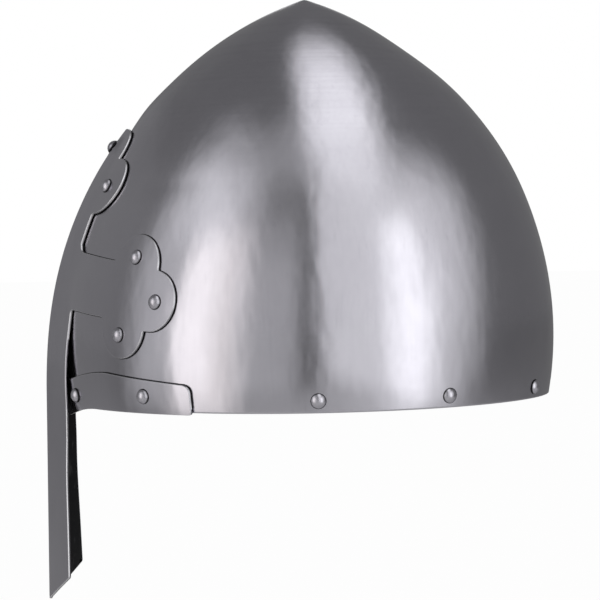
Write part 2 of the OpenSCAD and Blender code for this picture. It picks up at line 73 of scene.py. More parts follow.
class Slot(Enum):
    """The record's material slots."""

    SKULL = "skull_steel"
    PLATE = "plate_steel"
    RIVET = "rivet_steel"
    WASHER = "blackened_steel"
    LEATHER = "leather"


# ------------------------------------------------------------------ small numeric helpers


def mix(a: Array | float, b: Array | float, u: Array | float) -> Array | float:
    """The straight-line blend a + (b - a) u."""
    return a + (b - a) * u


def ease(u: Array | float) -> Array:
    """The smooth step 3u^2 - 2u^3 of u clipped to 0..1."""
    v = np.clip(u, 0.0, 1.0)
    return v * v * (3 - 2 * v)


def unit(v: Array) -> Array:
    """Each row of v divided by its length."""
    return v / np.maximum(np.linalg.norm(v, axis=-1, keepdims=True), TINY)


def resampled(points: Array, step: float, skip: float = 0.0, stop: float = 0.0) -> Array:
    """Points of an open polyline at an even spacing along it.

    Args:
        points: The polyline, one point a row.
        step: The greatest spacing.
        skip: Length left out at its start.
        stop: Length left out at its end.

    Returns:
        The new points; both ends of what is left are among them.
    """
    points = np.asarray(points, float)
    gaps = np.linalg.norm(np.diff(points, axis=0), axis=1)
    along = np.concatenate([[0.0], np.cumsum(gaps)])
    count = max(2, int(math.ceil((along[-1] - skip - stop) / step)) + 1)
    at = np.linspace(skip, along[-1] - stop, count)
    return np.stack([np.interp(at, along, points[:, i]) for i in range(points.shape[1])], 1)


def arc(centre: Sequence[float], radius: float, start: float, end: float, step: float = 0.6) -> Array:
    """Points of a circle's arc.

    Args:
        centre: The circle's middle.
        radius: Its radius.
        start: The first angle, in degrees.
        end: The last angle, in degrees; the arc runs clockwise if it is the smaller one.
        step: The greatest spacing of the points.

    Returns:
        Points centre + radius (cos, sin), with both ends.
    """
    count = max(3, int(abs(math.radians(end - start)) * radius / step) + 1)
    a = np.radians(np.linspace(start, end, count))
    return np.stack([centre[0] + radius * np.cos(a), centre[1] + radius * np.sin(a)], 1)


def joined(pieces: Sequence[Array], rounds: Sequence[float], step: float = 0.9) -> Array:
    """One polyline from several, with each corner between two of them rounded.

    A corner is cut back by its round on both sides, and a parabola whose control point is the
    corner joins the cut ends: (1-u)^2 a + 2u(1-u) corner + u^2 b.

    Args:
        pieces: Open polylines, each starting where the one before it ends.
        rounds: The length cut back at each joint between two pieces.
        step: The spacing of the points.

    Returns:
        The whole line's points, without doubled ones.
    """
    cuts = [0.0, *rounds, 0.0]
    out = []
    for i, piece in enumerate(pieces):
        body = resampled(piece, step, cuts[i], cuts[i + 1])
        if out:
            a, b, corner = out[-1][-1], body[0], pieces[i][0]
            u = np.linspace(0, 1, max(3, int(cuts[i] / CORNER_STEP) + 2))[1:-1, None]
            out.append((1 - u) ** 2 * a + 2 * u * (1 - u) * corner + u**2 * b)
        out.append(body)
    line = np.concatenate(out)
    keep = np.concatenate([[True], np.linalg.norm(np.diff(line, axis=0), axis=1) > DOUBLED])
    return line[keep]


def line_meets_circle(a: Array, b: Array, centre: Array, radius: float) -> Array:
    """The point where a line first meets a circle.

    Args:
        a: A point outside the circle.
        b: A point that the line heads for.
        centre: The circle's middle.
        radius: Its radius.

    Returns:
        a + d s, where d is the unit way to b and s the smaller root of |a + d s - centre| =
        radius.
    """
    d = unit(b - a)
    m = a - centre
    half = float(m @ d)
    return a + d * (-half - math.sqrt(max(0.0, half * half - float(m @ m) + radius**2)))


def circles_meet(c0: Array, r0: float, c1: Array, r1: float, side: float) -> Array:
    """A point that lies on two circles.

    Args:
        c0: The first circle's middle.
        r0: Its radius.
        c1: The second circle's middle.
        r1: Its radius.
        side: 1 for the point left of the way from c0 to c1, and -1 for the one right of it.

    Returns:
        The point, from the distance along that way to the chord and half the chord.
    """
    gap = float(np.linalg.norm(c1 - c0))
    along = (gap * gap + r0 * r0 - r1 * r1) / (2 * gap)
    across = math.sqrt(max(0.0, r0 * r0 - along * along))
    d = (c1 - c0) / gap
    return c0 + d * along + np.array([-d[1], d[0]]) * across * side


def angle_of(point: Array, centre: Array) -> float:
    """The direction of a point from a centre, in degrees."""
    return math.degrees(math.atan2(point[1] - centre[1], point[0] - centre[0]))


def arc_between(centre: Array, radius: float, first: Array, last: Array) -> Array:
    """Points of a circle's arc, counter-clockwise from one point of it to another.

    Args:
        centre: The circle's middle.
        radius: Its radius.
        first: The point where the arc begins.
        last: The point where it ends.

    Returns:
        The arc's points, with both ends.
    """
    start, end = angle_of(first, centre), angle_of(last, centre)
    return arc(centre, radius, start, end + (360 if end < start else 0))


def inside(points: Array, loop: Array) -> Array:
    """Tells which points lie inside a closed loop.

    Args:
        points: Points, one a row.
        loop: The loop's points in order, the first not repeated.

    Returns:
        True for each point from which a ray to +X crosses the loop an odd number of times.
    """
    x, y = points[:, :1], points[:, 1:2]
    x0, y0 = loop[:, 0], loop[:, 1]
    x1, y1 = np.roll(x0, -1), np.roll(y0, -1)
    rise = np.where(y1 == y0, TINY, y1 - y0)
    crosses = ((y0 > y) != (y1 > y)) & (x < x0 + (y - y0) * (x1 - x0) / rise)
    return crosses.sum(1) % 2 == 1


def within(points: Array, loops: list[Array]) -> Array:
    """Tells which points lie inside an outline and outside its holes.

    Args:
        points: Points, one a row.
        loops: The outline and then any holes.

    Returns:
        True for each such point.
    """
    keep = inside(points, loops[0])
    for hole in loops[1:]:
        keep &= ~inside(points, hole)
    return keep


# ------------------------------------------------------------------ meshes


def new_piece(name: str, vertices: Array, faces: list[Array], sharp: Array | None = None) -> bpy.types.Object:
    """A smooth-shaded mesh object at the origin.

    Args:
        name: The piece's name.
        vertices: Points in millimetres.
        faces: Arrays of vertex numbers, one face a row, each array of one face size.
        sharp: Vertex numbers; an edge with both ends among them is shaded sharp.

    Returns:
        The object, in the scene.
    """
    mesh = bpy.data.meshes.new(name)
    mesh.from_pydata((vertices * MM).tolist(), [], [f for part in faces for f in part.tolist()])
    mesh.validate()
    mesh.shade_smooth()
    if sharp is not None:
        ends = np.zeros(len(mesh.edges) * 2, int)
        mesh.edges.foreach_get("vertices", ends)
        marked = np.zeros(len(vertices), bool)
        marked[sharp] = True
        flags = marked[ends].reshape(-1, 2).all(1)
        attribute = mesh.attributes.new("sharp_edge", "BOOLEAN", "EDGE")
        attribute.data.foreach_set("value", flags)
    mesh.update()
    piece = bpy.data.objects.new(name, mesh)
    bpy.context.scene.collection.objects.link(piece)
    return piece


def paint(piece: bpy.types.Object, name: str, values: Array) -> None:
    """Writes one number a vertex on a piece, for its material to read."""
    attribute = piece.data.attributes.new(name, "FLOAT", "POINT")
    attribute.data.foreach_set("value", np.asarray(values, np.float32))


def ring_quads(first: Array, second: Array) -> Array:
    """Quads between two closed rows of vertex numbers, facing out when second lies above first."""
    return np.stack([first, np.roll(first, -1), np.roll(second, -1), second], 1)


@dataclass(frozen=True)
class CutSheet:
    """A sheet cut to an outline, laid on a surface, with its cut edges slightly rounded.

    Attributes:
        surface: Takes rows of two sheet coordinates and gives points of the outer face.
        wall: The sheet's thickness.
        edge: The radius of its outer face's rounded edges.
        under: The radius of its inner face's rounded edges.
        inward: Gives the vectors from the outer to the inner face, or None for the normal's.
        joint: Gives the share, from 0 to 1, to which each rim point lies against the skull.
        shade_and_dirt_line: The width of the dark line along an edge that lies against it, painted shade and
            dirt in the gap.
        turns: The angles of the rings of vertices round an edge.
        nudge: The half step along the sheet from which a normal is worked out.
        probe: The step off an edge from which the way outwards is worked out.
        clear: The share of the spacing that inner points keep from the rim.
    """

    surface: Surface
    wall: float
    edge: float
    under: float
    inward: Callable[[Array, Array], Array] | None = None
    joint: Callable[[Array], Array] | None = None
    shade_and_dirt_line: float = 0.35
    turns: tuple[float, ...] = (0.0, 30.0, 60.0, 90.0)
    nudge: float = 0.02
    probe: float = 0.05
    clear: float = 0.35

    def normals(self, q: Array) -> Array:
        """Unit normals: the cross product of a short step along each sheet coordinate.

        Args:
            q: Sheet coordinates, one point a row.

        Returns:
            The outward unit normal at each point.
        """
        e = self.nudge
        du = self.surface(q + [e, 0]) - self.surface(q - [e, 0])
        dv = self.surface(q + [0, e]) - self.surface(q - [0, e])
        return unit(np.cross(du, dv))

    def build(
        self, name: str, loops: list[Array], spacing: Pair, lines: Array | None = None
    ) -> bpy.types.Object:
        """Fills the outline with triangles, and closes the two faces with rounded edges.

        Args:
            name: The piece's name.
            loops: The outline, counter-clockwise, and then any holes, clockwise.
            spacing: Distances of the inner points along the two sheet coordinates.
            lines: More inner points, such as those along a fold.

        Returns:
            The piece.
        """
        rim = np.concatenate(loops)
        inner = self._fill(loops, spacing, lines)
        q = np.concatenate([rim, inner])
        edges, start = [], 0
        for loop in loops:
            ids = np.arange(start, start + len(loop))
            edges += np.stack([ids, np.roll(ids, -1)], 1).tolist()
            start += len(loop)
        found = delaunay_2d_cdt([Vector(p) for p in q.tolist()], edges, [], 0, SAME_POINT, True)
        origin = np.array([o[0] if o else -1 for o in found[3]])
        tris = origin[np.array([list(f) for f in found[2]])]
        tris = tris[within(q[tris].mean(1), loops) & (tris >= 0).all(1)]
        return self._close(name, q, tris, loops)

    def _fill(self, loops: list[Array], spacing: Pair, lines: Array | None) -> Array:
        """Points of a staggered grid inside the outline, and of the extra lines, clear of the rim.

        Args:
            loops: The outline and any holes.
            spacing: Distances of the points along the two sheet coordinates.
            lines: Extra points, which take the place of the grid round the middle.

        Returns:
            Sheet coordinates of the points, one a row.
        """
        rim = np.concatenate(loops)
        low, high = rim.min(0), rim.max(0)
        rows = np.arange(low[1] + spacing[1] / 2, high[1], spacing[1])
        cols = np.arange(low[0] + spacing[0] / 2, high[0], spacing[0])
        u, v = np.meshgrid(cols, rows)
        u = u + spacing[0] / 4 * np.where(np.arange(len(rows)) % 2, 1, -1)[:, None]
        points = np.stack([u.ravel(), v.ravel()], 1)
        if lines is not None:
            band = np.abs(lines[:, 0]).max() + spacing[0] / 2
            points = np.concatenate([points[np.abs(points[:, 0]) > band], lines])
        points = points[within(points, loops)]
        near = np.empty(len(points))
        for part in np.array_split(np.arange(len(points)), max(1, len(points) // BATCH)):
            near[part] = np.abs(points[part, None] - rim[None]).max(2).min(1)
        return points[near > self.clear * min(spacing)]

    def _close(self, name: str, q: Array, tris: Array, loops: list[Array]) -> bpy.types.Object:
        """Both faces of the sheet with the rings of its rounded edges between them.

        At angle a of a rounded edge the ring lies edge (1 - sin a) inside the outline and
        edge (1 - cos a) below the face. Against the skull the lower rings lie outside it instead,
        to show as a thin dark line of painted shade and dirt.

        Args:
            name: The piece's name.
            q: Sheet coordinates of the rim's points and then of the inner ones.
            tris: The triangles of one face, by the numbers of those points.
            loops: The outline and any holes, whose points make up the rim in that order.

        Returns:
            The piece, with its cut edge, its inner face and its joint painted for the material: the cut
            edge for a painted highlight, the lower edges for painted shade, the joint for painted shade and
            dirt.
        """
        n_rim = sum(len(loop) for loop in loops)
        face, normal = self.surface(q), self.normals(q)
        depth = -normal * self.wall if self.inward is None else self.inward(q, normal)
        sense = np.cross(face[tris[:, 1]] - face[tris[:, 0]], face[tris[:, 2]] - face[tris[:, 0]])
        flip = (sense * normal[tris[:, 0]]).sum(1) < 0
        tris[flip] = tris[flip][:, ::-1]
        out_dir = np.concatenate([self._outwards(loop) for loop in loops])
        turn = np.radians(self.turns)
        inset, sink = 1 - np.sin(turn), (1 - np.cos(turn)) / self.wall
        laid = np.zeros((n_rim, 1)) if self.joint is None else self.joint(q[:n_rim])[:, None]
        steps = [(self.edge * i, self.edge * s) for i, s in zip(inset, sink)]
        steps.append((0.0, 1 - self.under * sink[0]))
        # The lower rings: against the skull they flare out by shade_and_dirt_line, a dark line of painted
        # shade and dirt.
        for i, s in zip(inset[-2::-1], sink[-2::-1]):
            steps.append((mix(self.under * i, -self.shade_and_dirt_line, laid), 1 - self.under * s))
        rings = [face[:n_rim] - out_dir * i + depth[:n_rim] * s for i, s in steps]
        n_in = len(q) - n_rim
        vertices = [*rings, face[n_rim:], face[n_rim:] + depth[n_rim:]]
        top = np.concatenate([np.arange(n_rim), len(rings) * n_rim + np.arange(n_in)])
        last = (len(rings) - 1) * n_rim + np.arange(n_rim)
        back = np.concatenate([last, len(rings) * n_rim + n_in + np.arange(n_in)])
        faces = [top[tris], back[tris[:, ::-1]]]
        start = 0
        for loop in loops:
            ids = np.arange(start, start + len(loop))
            for r in range(len(rings) - 1):
                faces.append(ring_quads((r + 1) * n_rim + ids, r * n_rim + ids))
            start += len(loop)
        sharp = np.concatenate([np.arange(n_rim), last])
        piece = new_piece(name, np.concatenate(vertices), faces, sharp)
        blank, inner = np.zeros(n_in), np.ones(n_in)
        place = np.arange(len(rings))[:, None] + np.zeros(n_rim)
        foot = len(turn)
        # cut marks the cut edges for a painted highlight, under marks the lower rounded edges for painted
        # shade and the joint line for painted shade and dirt, and back marks the inner face.
        for label, on_ring, on_back in (
            ("cut", (place > 0) & (place < foot), blank),
            ("under", np.where(place == foot, laid.T, place > foot), blank),
            ("back", place == len(rings) - 1, inner),
        ):
            paint(piece, label, np.concatenate([on_ring.astype(float).ravel(), blank, on_back]))
        return piece

    def _outwards(self, loop: Array) -> Array:
        """Unit vectors in the face, square to the loop, that point away from the sheet.

        Args:
            loop: Sheet coordinates of a loop.

        Returns:
            One vector a point: a short step outwards, less its parts along the loop and the
            normal.
        """
        along = np.roll(loop, -1, 0) - np.roll(loop, 1, 0)
        side = unit(np.stack([along[:, 1], -along[:, 0]], 1))
        face = self.surface(loop)
        tangent = unit(np.roll(face, -1, 0) - np.roll(face, 1, 0))
        normal = self.normals(loop)
        rough = self.surface(loop + side * self.probe) - face
        rough -= tangent * (rough * tangent).sum(1, keepdims=True)
        rough -= normal * (rough * normal).sum(1, keepdims=True)
        return unit(rough)


# ------------------------------------------------------------------ the helmet's form


@dataclass(frozen=True)
class SkullForm:
    """The skull's outer face, and the surfaces that lie a distance k outside it.

    The side outline is an arc of a circle. A level section is an oval
    (x / b)^e + (y / a)^2 = 1, whose power e falls towards the keel in the front half.

    Attributes:
        length: The skull's length where it's widest.
        width: Its width there.
        height: Its height above the rim.
        widest: The height at which it's widest.
        rim_roundness: The power e of the front half at the rim.
        keel_roundness: The same power from keel_height up, where the front is sharper.
        keel_height: The height from which that power stays.
        rear_roundness: The power e of the rear half.
        crease: How far the steel stands forward in the middle of its front.
        crease_spread: The power of cos(t) by which the crease fades to the sides.
        crease_top: The heights between which it fades out upwards.
        steel_depth: The depth below the outer face down to which the crease goes.
    """

    length: float = 242.0
    width: float = 196.0
    height: float = 198.0
    widest: float = 31.5
    rim_roundness: float = 1.6
    keel_roundness: float = 1.2
    keel_height: float = 105.0
    rear_roundness: float = 1.85
    crease: float = 3.6
    crease_spread: float = 30.0
    crease_top: Pair = (98.0, 128.0)
    steel_depth: float = 1.75

    @property
    def arc_radius(self) -> float:
        """Radius of the side outline's arc."""
        return ((self.height - self.widest) ** 2 + (self.length / 2) ** 2) / self.length

    @property
    def arc_back(self) -> float:
        """Distance of the arc's centre behind the axis."""
        return self.arc_radius - self.length / 2

    def half_length(self, z: Array, k: Array | float) -> Array:
        """Half the length of the level section at height z."""
        return np.sqrt(np.maximum(0, (self.arc_radius + k) ** 2 - (z - self.widest) ** 2)) - self.arc_back

    def ratio(self, k: Array | float) -> Array | float:
        """Width of a section over its length."""
        return (self.width / 2 + k) / (self.length / 2 + k)

    def power(self, front: Array, z: Array) -> Array:
        """The oval's power e in the front or the rear half."""
        keel = mix(self.rim_roundness, self.keel_roundness, np.clip(z / self.keel_height, 0, 1))
        return np.where(front, keel, self.rear_roundness)

    def oval(self, t: Array, z: Array, a: Array, ratio: Array | float) -> Array:
        """Points of a section of half-length a: x = sin(t)^(2/e) a ratio, y = -a cos(t).

        Args:
            t: The plan angle.
            z: The height.
            a: The section's half-length.
            ratio: Its width over its length.

        Returns:
            The points, with their three coordinates along the last axis.
        """
        t, z, a, ratio = np.broadcast_arrays(np.radians(t), z, a, ratio)
        s, c = np.sin(t), np.cos(t)
        x = np.sign(s) * np.abs(s) ** (2 / self.power(c > 0, z)) * a * ratio
        return np.stack([x, -a * c, z], -1)

    def creased(self, c: Array, z: Array, k: Array | float) -> Array:
        """How far the steel stands forward in its middle: crease c^spread, less towards the crown.

        Args:
            c: The cosine of the plan angle.
            z: The height.
            k: The distance from the outer face; the leather behind the steel has no crease.

        Returns:
            The distance forward at each point.
        """
        low, high = self.crease_top
        fade = 1 - ease((z - low) / (high - low))
        size = np.where(np.asarray(k) > -self.steel_depth, self.crease, 0.0)
        return size * np.maximum(c, 0) ** self.crease_spread * fade

    def skin(self, t: Array, z: Array, k: Array | float) -> Array:
        """Points of the surface k: the section oval at z, with the crease taken off y.

        Args:
            t: The plan angle, which is 0 at the front and 90 on the left.
            z: The height.
            k: The distance outside the outer face.

        Returns:
            The points, with their three coordinates along the last axis.
        """
        z = np.asarray(z, float)
        points = self.oval(t, z, self.half_length(z, k), self.ratio(k))
        points[..., 1] -= self.creased(np.cos(np.radians(t)), z, k)
        return points

    def front_y(self, x: Array, z: Array, k: float) -> Array:
        """The front half as y of x and z: y = -a c less the crease, c = sqrt(1 - (|x| / b)^e).

        Args:
            x: Places across.
            z: Heights.
            k: The distance outside the outer face.

        Returns:
            The y of each point.
        """
        a = self.half_length(z, k)
        b = np.maximum(a * self.ratio(k), TINY)
        e = self.power(np.ones_like(a, bool), z)
        c = np.sqrt(np.maximum(0, 1 - np.minimum(np.abs(x) / b, 1) ** e))
        return -a * c - self.creased(c, z, k)

    def normal(self, t: float, z: float, k: float) -> Array:
        """The outward unit normal, from a step of one degree and one millimetre each way.

        Args:
            t: The plan angle.
            z: The height.
            k: The distance outside the outer face.

        Returns:
            The cross product of the steps along and up, at unit length.
        """
        along = self.skin(t + 1, z, k) - self.skin(t - 1, z, k)
        up = self.skin(t, z + 1, k) - self.skin(t, z - 1, k)
        return unit(np.cross(along, up))


FORM = SkullForm()


@dataclass(frozen=True)
class Layers:
    """Walls and gaps, and the distances of the pieces' faces from the skull's outer face.

    Attributes:
        skull_wall: The skull's steel.
        seat: The gap under the cross nasal and the brow band.
        plate_wall: The cross nasal's steel.
        band_wall: The brow band's steel.
        leather_gap: The gap between a leather and what lies outside it.
        liner_wall: The liner band's leather.
        tongue_wall: The tongues' leather.
        washer_gap: The gap between the leather and a washer.
        washer: A washer's thickness.
    """

    skull_wall: float = 1.6
    seat: float = 0.4
    plate_wall: float = 1.2
    band_wall: float = 1.5
    leather_gap: float = 0.3
    liner_wall: float = 2.5
    tongue_wall: float = 2.2
    washer_gap: float = 0.4
    washer: float = 0.8

    @property
    def plate_face(self) -> float:
        """The cross nasal's outer face."""
        return self.seat + self.plate_wall

    @property
    def band_face(self) -> float:
        """The brow band's outer face."""
        return self.seat + self.band_wall

    @property
    def liner(self) -> float:
        """The liner band's outer face."""
        return -self.skull_wall - self.leather_gap

    @property
    def tongue(self) -> float:
        """The tongues' outer face."""
        return self.liner - self.liner_wall - self.leather_gap

    @property
    def peen(self) -> float:
        """The inner face of the washers, that the rivets are peened on."""
        return self.liner - self.liner_wall - self.washer_gap - self.washer


LAYERS = Layers()


# ------------------------------------------------------------------ shader helpers


class Wire:
    """A socket whose arithmetic adds Math nodes, so that a formula reads as one."""

    def __init__(self, tree: bpy.types.NodeTree, socket: bpy.types.NodeSocket) -> None:
        """Keeps the tree and the socket."""
        self.tree, self.socket = tree, socket

    def math(self, operation: str, *others: "Wire | float", swap: bool = False) -> "Wire":
        """Adds a Math node on this value and the others.

        Args:
            operation: The node's operation.
            others: More values or wires.
            swap: Whether the inputs are taken in reverse order.

        Returns:
            The result as a wire.
        """
        made = self.tree.nodes.new("ShaderNodeMath")
        made.operation = operation
        values: list[Wire | float] = [self, *others]
        for place, value in enumerate(values[::-1] if swap else values):
            if isinstance(value, Wire):
                self.tree.links.new(value.socket, made.inputs[place])
            else:
                made.inputs[place].default_value = value
        return Wire(self.tree, made.outputs[0])

    def __add__(self, other: "Wire | float") -> "Wire":
        """self + other."""
        return self.math("ADD", other)

    __radd__ = __add__

    def __sub__(self, other: "Wire | float") -> "Wire":
        """self - other."""
        return self.math("SUBTRACT", other)

    def __rsub__(self, other: float) -> "Wire":
        """other - self."""
        return self.math("SUBTRACT", other, swap=True)

    def __mul__(self, other: "Wire | float") -> "Wire":
        """self * other."""
        return self.math("MULTIPLY", other)

    __rmul__ = __mul__

    def __truediv__(self, other: "Wire | float") -> "Wire":
        """self / other."""
        return self.math("DIVIDE", other)

    def clip(self) -> "Wire":
        """The value held between 0 and 1."""
        return self.math("MAXIMUM", 0.0).math("MINIMUM", 1.0)

    def step(self, low: float, high: float) -> "Wire":
        """A straight ramp from 0 at low to 1 at high."""
        return ((self - low) / (high - low)).clip()


class NodeBench:
    """Adds nodes to one node tree."""

    def __init__(self, tree: bpy.types.NodeTree) -> None:
        """Keeps the tree."""
        self.tree = tree

    def node(self, kind: str, settings: dict[str, str] | None = None, **values: object) -> bpy.types.Node:
        """Adds a node, sets its settings, and then sets or links its inputs.

        Args:
            kind: The node's type without "ShaderNode".
            settings: Properties of the node, by name.
            values: Input values or wires by input name, with _ for a space.

        Returns:
            The node.
        """
        made = self.tree.nodes.new("ShaderNode" + kind)
        for key, value in (settings or {}).items():
            setattr(made, key, value)
        for key, value in values.items():
            self.feed(made.inputs[key.replace("_", " ")], value)
        return made

    def feed(self, socket: bpy.types.NodeSocket, value: object) -> None:
        """Fills a socket.

        Args:
            socket: The socket.
            value: A wire to link to it, or else the value to set.
        """
        if isinstance(value, Wire):
            self.tree.links.new(value.socket, socket)
        else:
            socket.default_value = value

    def out(self, node: bpy.types.Node, name: str | int = 0) -> Wire:
        """One output of a node as a wire."""
        return Wire(self.tree, node.outputs[name])

    def either(self, first: bpy.types.Node, second: bpy.types.Node, share: Wire | float) -> Wire:
        """Mixes two shaders.

        Args:
            first: The shader where the share is 0.
            second: The shader where it is 1.
            share: The second one's share.

        Returns:
            The mixed shader as a wire.
        """
        both = self.node("MixShader", Fac=share)
        self.feed(both.inputs[1], self.out(first))
        self.feed(both.inputs[2], self.out(second))
        return self.out(both)


class Painter(NodeBench):
    """Builds one procedural material on a Principled shader."""

    def __init__(self, name: str) -> None:
        """Makes an empty material with its shader and output.

        Args:
            name: The material's name.
        """
        self.material = bpy.data.materials.new(name)
        self.material.use_nodes = True
        super().__init__(self.material.node_tree)
        self.tree.nodes.clear()
        self.shader = self.node("BsdfPrincipled")
        self.output = self.node("OutputMaterial", Surface=self.out(self.shader))

    def place(self, scale: Triple = (1, 1, 1)) -> Wire:
        """The piece's own coordinates in metres, stretched by a Mapping node."""
        at = self.node("TexCoord")
        return self.out(self.node("Mapping", Vector=self.out(at, "Object"), Scale=scale))

    def painted(self, name: str) -> Wire:
        """The number painted on each vertex under a name."""
        return self.out(self.node("Attribute", {"attribute_name": name}), "Fac")

    def noise(self, cells: float | Triple, detail: float, rough: float) -> Wire:
        """Fractal noise from about 0.25 to 0.75.

        Args:
            cells: Cells a metre, the same every way or along each axis.
            detail: How many finer layers lie on the first.
            rough: The strength of each layer as a share of the one before.

        Returns:
            The noise's value as a wire.
        """
        at = self.place(cells if isinstance(cells, tuple) else (cells, cells, cells))
        return self.out(self.node("TexNoise", Vector=at, Scale=1.0, Detail=detail, Roughness=rough))

    def blend(self, a: Wire | Triple, b: Wire | Triple, share: Wire | float) -> Wire:
        """A colour between two.

        Args:
            a: The colour where the share is 0.
            b: The colour where it is 1.
            share: The second one's share.

        Returns:
            The colour as a wire.
        """
        made = self.node("Mix", {"data_type": "RGBA"}, Factor=share)
        for name, colour in (("A", a), ("B", b)):
            socket = [i for i in made.inputs if i.name == name and i.type == "RGBA"][0]
            self.feed(socket, colour if isinstance(colour, Wire) else (*colour, 1.0))
        return Wire(self.tree, [o for o in made.outputs if o.type == "RGBA"][0])

    def bump(self, height: Wire, distance: float, strength: float = 1.0, before: Wire | None = None) -> Wire:
        """A normal bent by a height.

        Args:
            height: The height, from 0 to 1.
            distance: Its full range in metres.
            strength: The share of the bend that counts.
            before: A normal that is already bent, or None.

        Returns:
            The normal as a wire.
        """
        more = {} if before is None else {"Normal": before}
        return self.out(self.node("Bump", Height=height, Distance=distance, Strength=strength, **more))

    def finish(self, **values: object) -> bpy.types.Material:
        """Sets the shader's inputs.

        Args:
            values: Values or wires by input name, with _ for a space.

        Returns:
            The material.
        """
        for key, value in values.items():
            self.feed(self.shader.inputs[key.replace("_", " ")], value)
        return self.material


@dataclass(frozen=True)
class Steel:
    """Satin steel: fine brushing, soft blotches from hand finishing, and a slightly uneven sheet.

    The cells of a pattern are counted a metre, the same every way or along each axis.

    Attributes:
        name: The material's name.
        light: Colour of the metal where it is cleanest, linear.
        dark: Colour of its greyest blotches.
        roughness: The usual roughness.
        uneven: Height of the sheet's waves in metres.
        brushing: Depth of the brush lines in metres.
        sheet: Whether the piece has a dark inner face, a painted highlight on its cut edges, and painted
            shade along its lower edges and joints.
        wear: How strongly nicks and polishing rings show.
        bright: Colour of a fresh cut edge, painted lighter as a highlight where light catches it.
        inner: Colour of the scaled, unpolished inner face; the same near black is painted on the lower
            rounded edges and joint lines as shade.
        scuffed: Colour of that face where it's rubbed.
        shaded: Colour of that face where it lies against the skull.
        blotches: Cells of the soft blotches.
        grain: Cells of the fine grain in the gloss.
        brush: Cells of the upright brush lines.
        broad: How many times broader the broad brush lines are.
        nicks: Cells of the upright nicks.
        rings: Cells of the level polishing rings.
        ring_heights: Heights in metres between which the rings fade in.
        scuffs: Cells of the inner face's scuffs.
        shade_heights: Heights in metres between which the inner face goes over to the shaded colour.
        waves: Cells of the sheet's broad waves.
        ripples: Cells of its small ones.
    """

    name: str
    light: Triple = (0.53, 0.52, 0.565)
    dark: Triple = (0.46, 0.45, 0.495)
    roughness: float = 0.16
    uneven: float = 0.0012
    brushing: float = 0.000004
    sheet: bool = False
    wear: float = 1.0
    bright: Triple = (0.72, 0.72, 0.74)
    inner: Triple = (0.025, 0.025, 0.027)
    scuffed: Triple = (0.16, 0.16, 0.165)
    shaded: Triple = (0.3, 0.3, 0.31)
    blotches: float = 28.0
    grain: float = 420.0
    brush: Triple = (2600, 2600, 90)
    broad: float = 4.0
    nicks: Triple = (700, 700, 18)
    rings: Triple = (24, 24, 700)
    ring_heights: Pair = (0.1, 0.18)
    scuffs: Triple = (260, 260, 70)
    shade_heights: Pair = (-0.005, 0.03)
    waves: float = 13.0
    ripples: Triple = (60, 60, 30)

    def make(self) -> bpy.types.Material:
        """Mixes the patterns into a colour, a gloss and a normal.

        Returns:
            The material.
        """
        p = Painter(self.name)
        height = p.out(p.node("SeparateXYZ", Vector=p.place()), "Z")
        blotch = p.noise(self.blotches, 4.0, 0.55).step(0.3, 0.7)
        grain = p.noise(self.grain, 3.0, 0.6)
        lines = p.noise(self.brush, 4.0, 0.6)
        broad = p.noise(tuple(cells / self.broad for cells in self.brush), 2.0, 0.5)
        nicks = p.noise(self.nicks, 3.0, 0.6).step(0.6, 0.78) * self.wear
        high = height.step(*self.ring_heights)
        rings = p.noise(self.rings, 4.0, 0.6).step(0.45, 0.75) * high * self.wear
        tone = (blotch * 0.6 + lines * 0.25 + broad * 0.3 - rings * 0.5 - nicks * 0.5 - 0.05).clip()
        colour = p.blend(self.dark, self.light, tone)
        rough = blotch * -0.05 + lines * 0.1 + grain * 0.05 + (self.roughness - 0.03)
        if self.sheet:
            cut, under = p.painted("cut"), p.painted("under").step(0.2, 0.9)
            back = p.painted("back").step(0.4, 0.9)
            low = 1.0 - height.step(*self.shade_heights)
            worn = p.blend(self.inner, self.scuffed, p.noise(self.scuffs, 4.0, 0.65).step(0.58, 0.8))
            # Painted highlight: the cut edges are lighter steel, as where light catches them, on top of their
            # fresh cut.
            colour = p.blend(colour, self.bright, cut * 0.8)
            colour = p.blend(colour, p.blend(self.shaded, worn, low), back)
            # Painted shade: the lower rounded edges and the joint lines go near black as a shadow line, with
            # dirt where the sheet lies on the skull.
            colour = p.blend(colour, self.inner, under)
            rough = rough + cut * 0.1 + back * 0.15
        sheet = p.noise(self.waves, 1.0, 0.4) + p.noise(self.ripples, 2.0, 0.5) * 0.28
        marks = lines * 0.6 + broad * 0.6 + nicks * 0.4 + rings * 1.5
        normal = p.bump(marks, self.brushing, before=p.bump(sheet, self.uneven))
        return p.finish(Base_Color=colour, Metallic=1.0, Roughness=rough.clip(), Normal=normal)


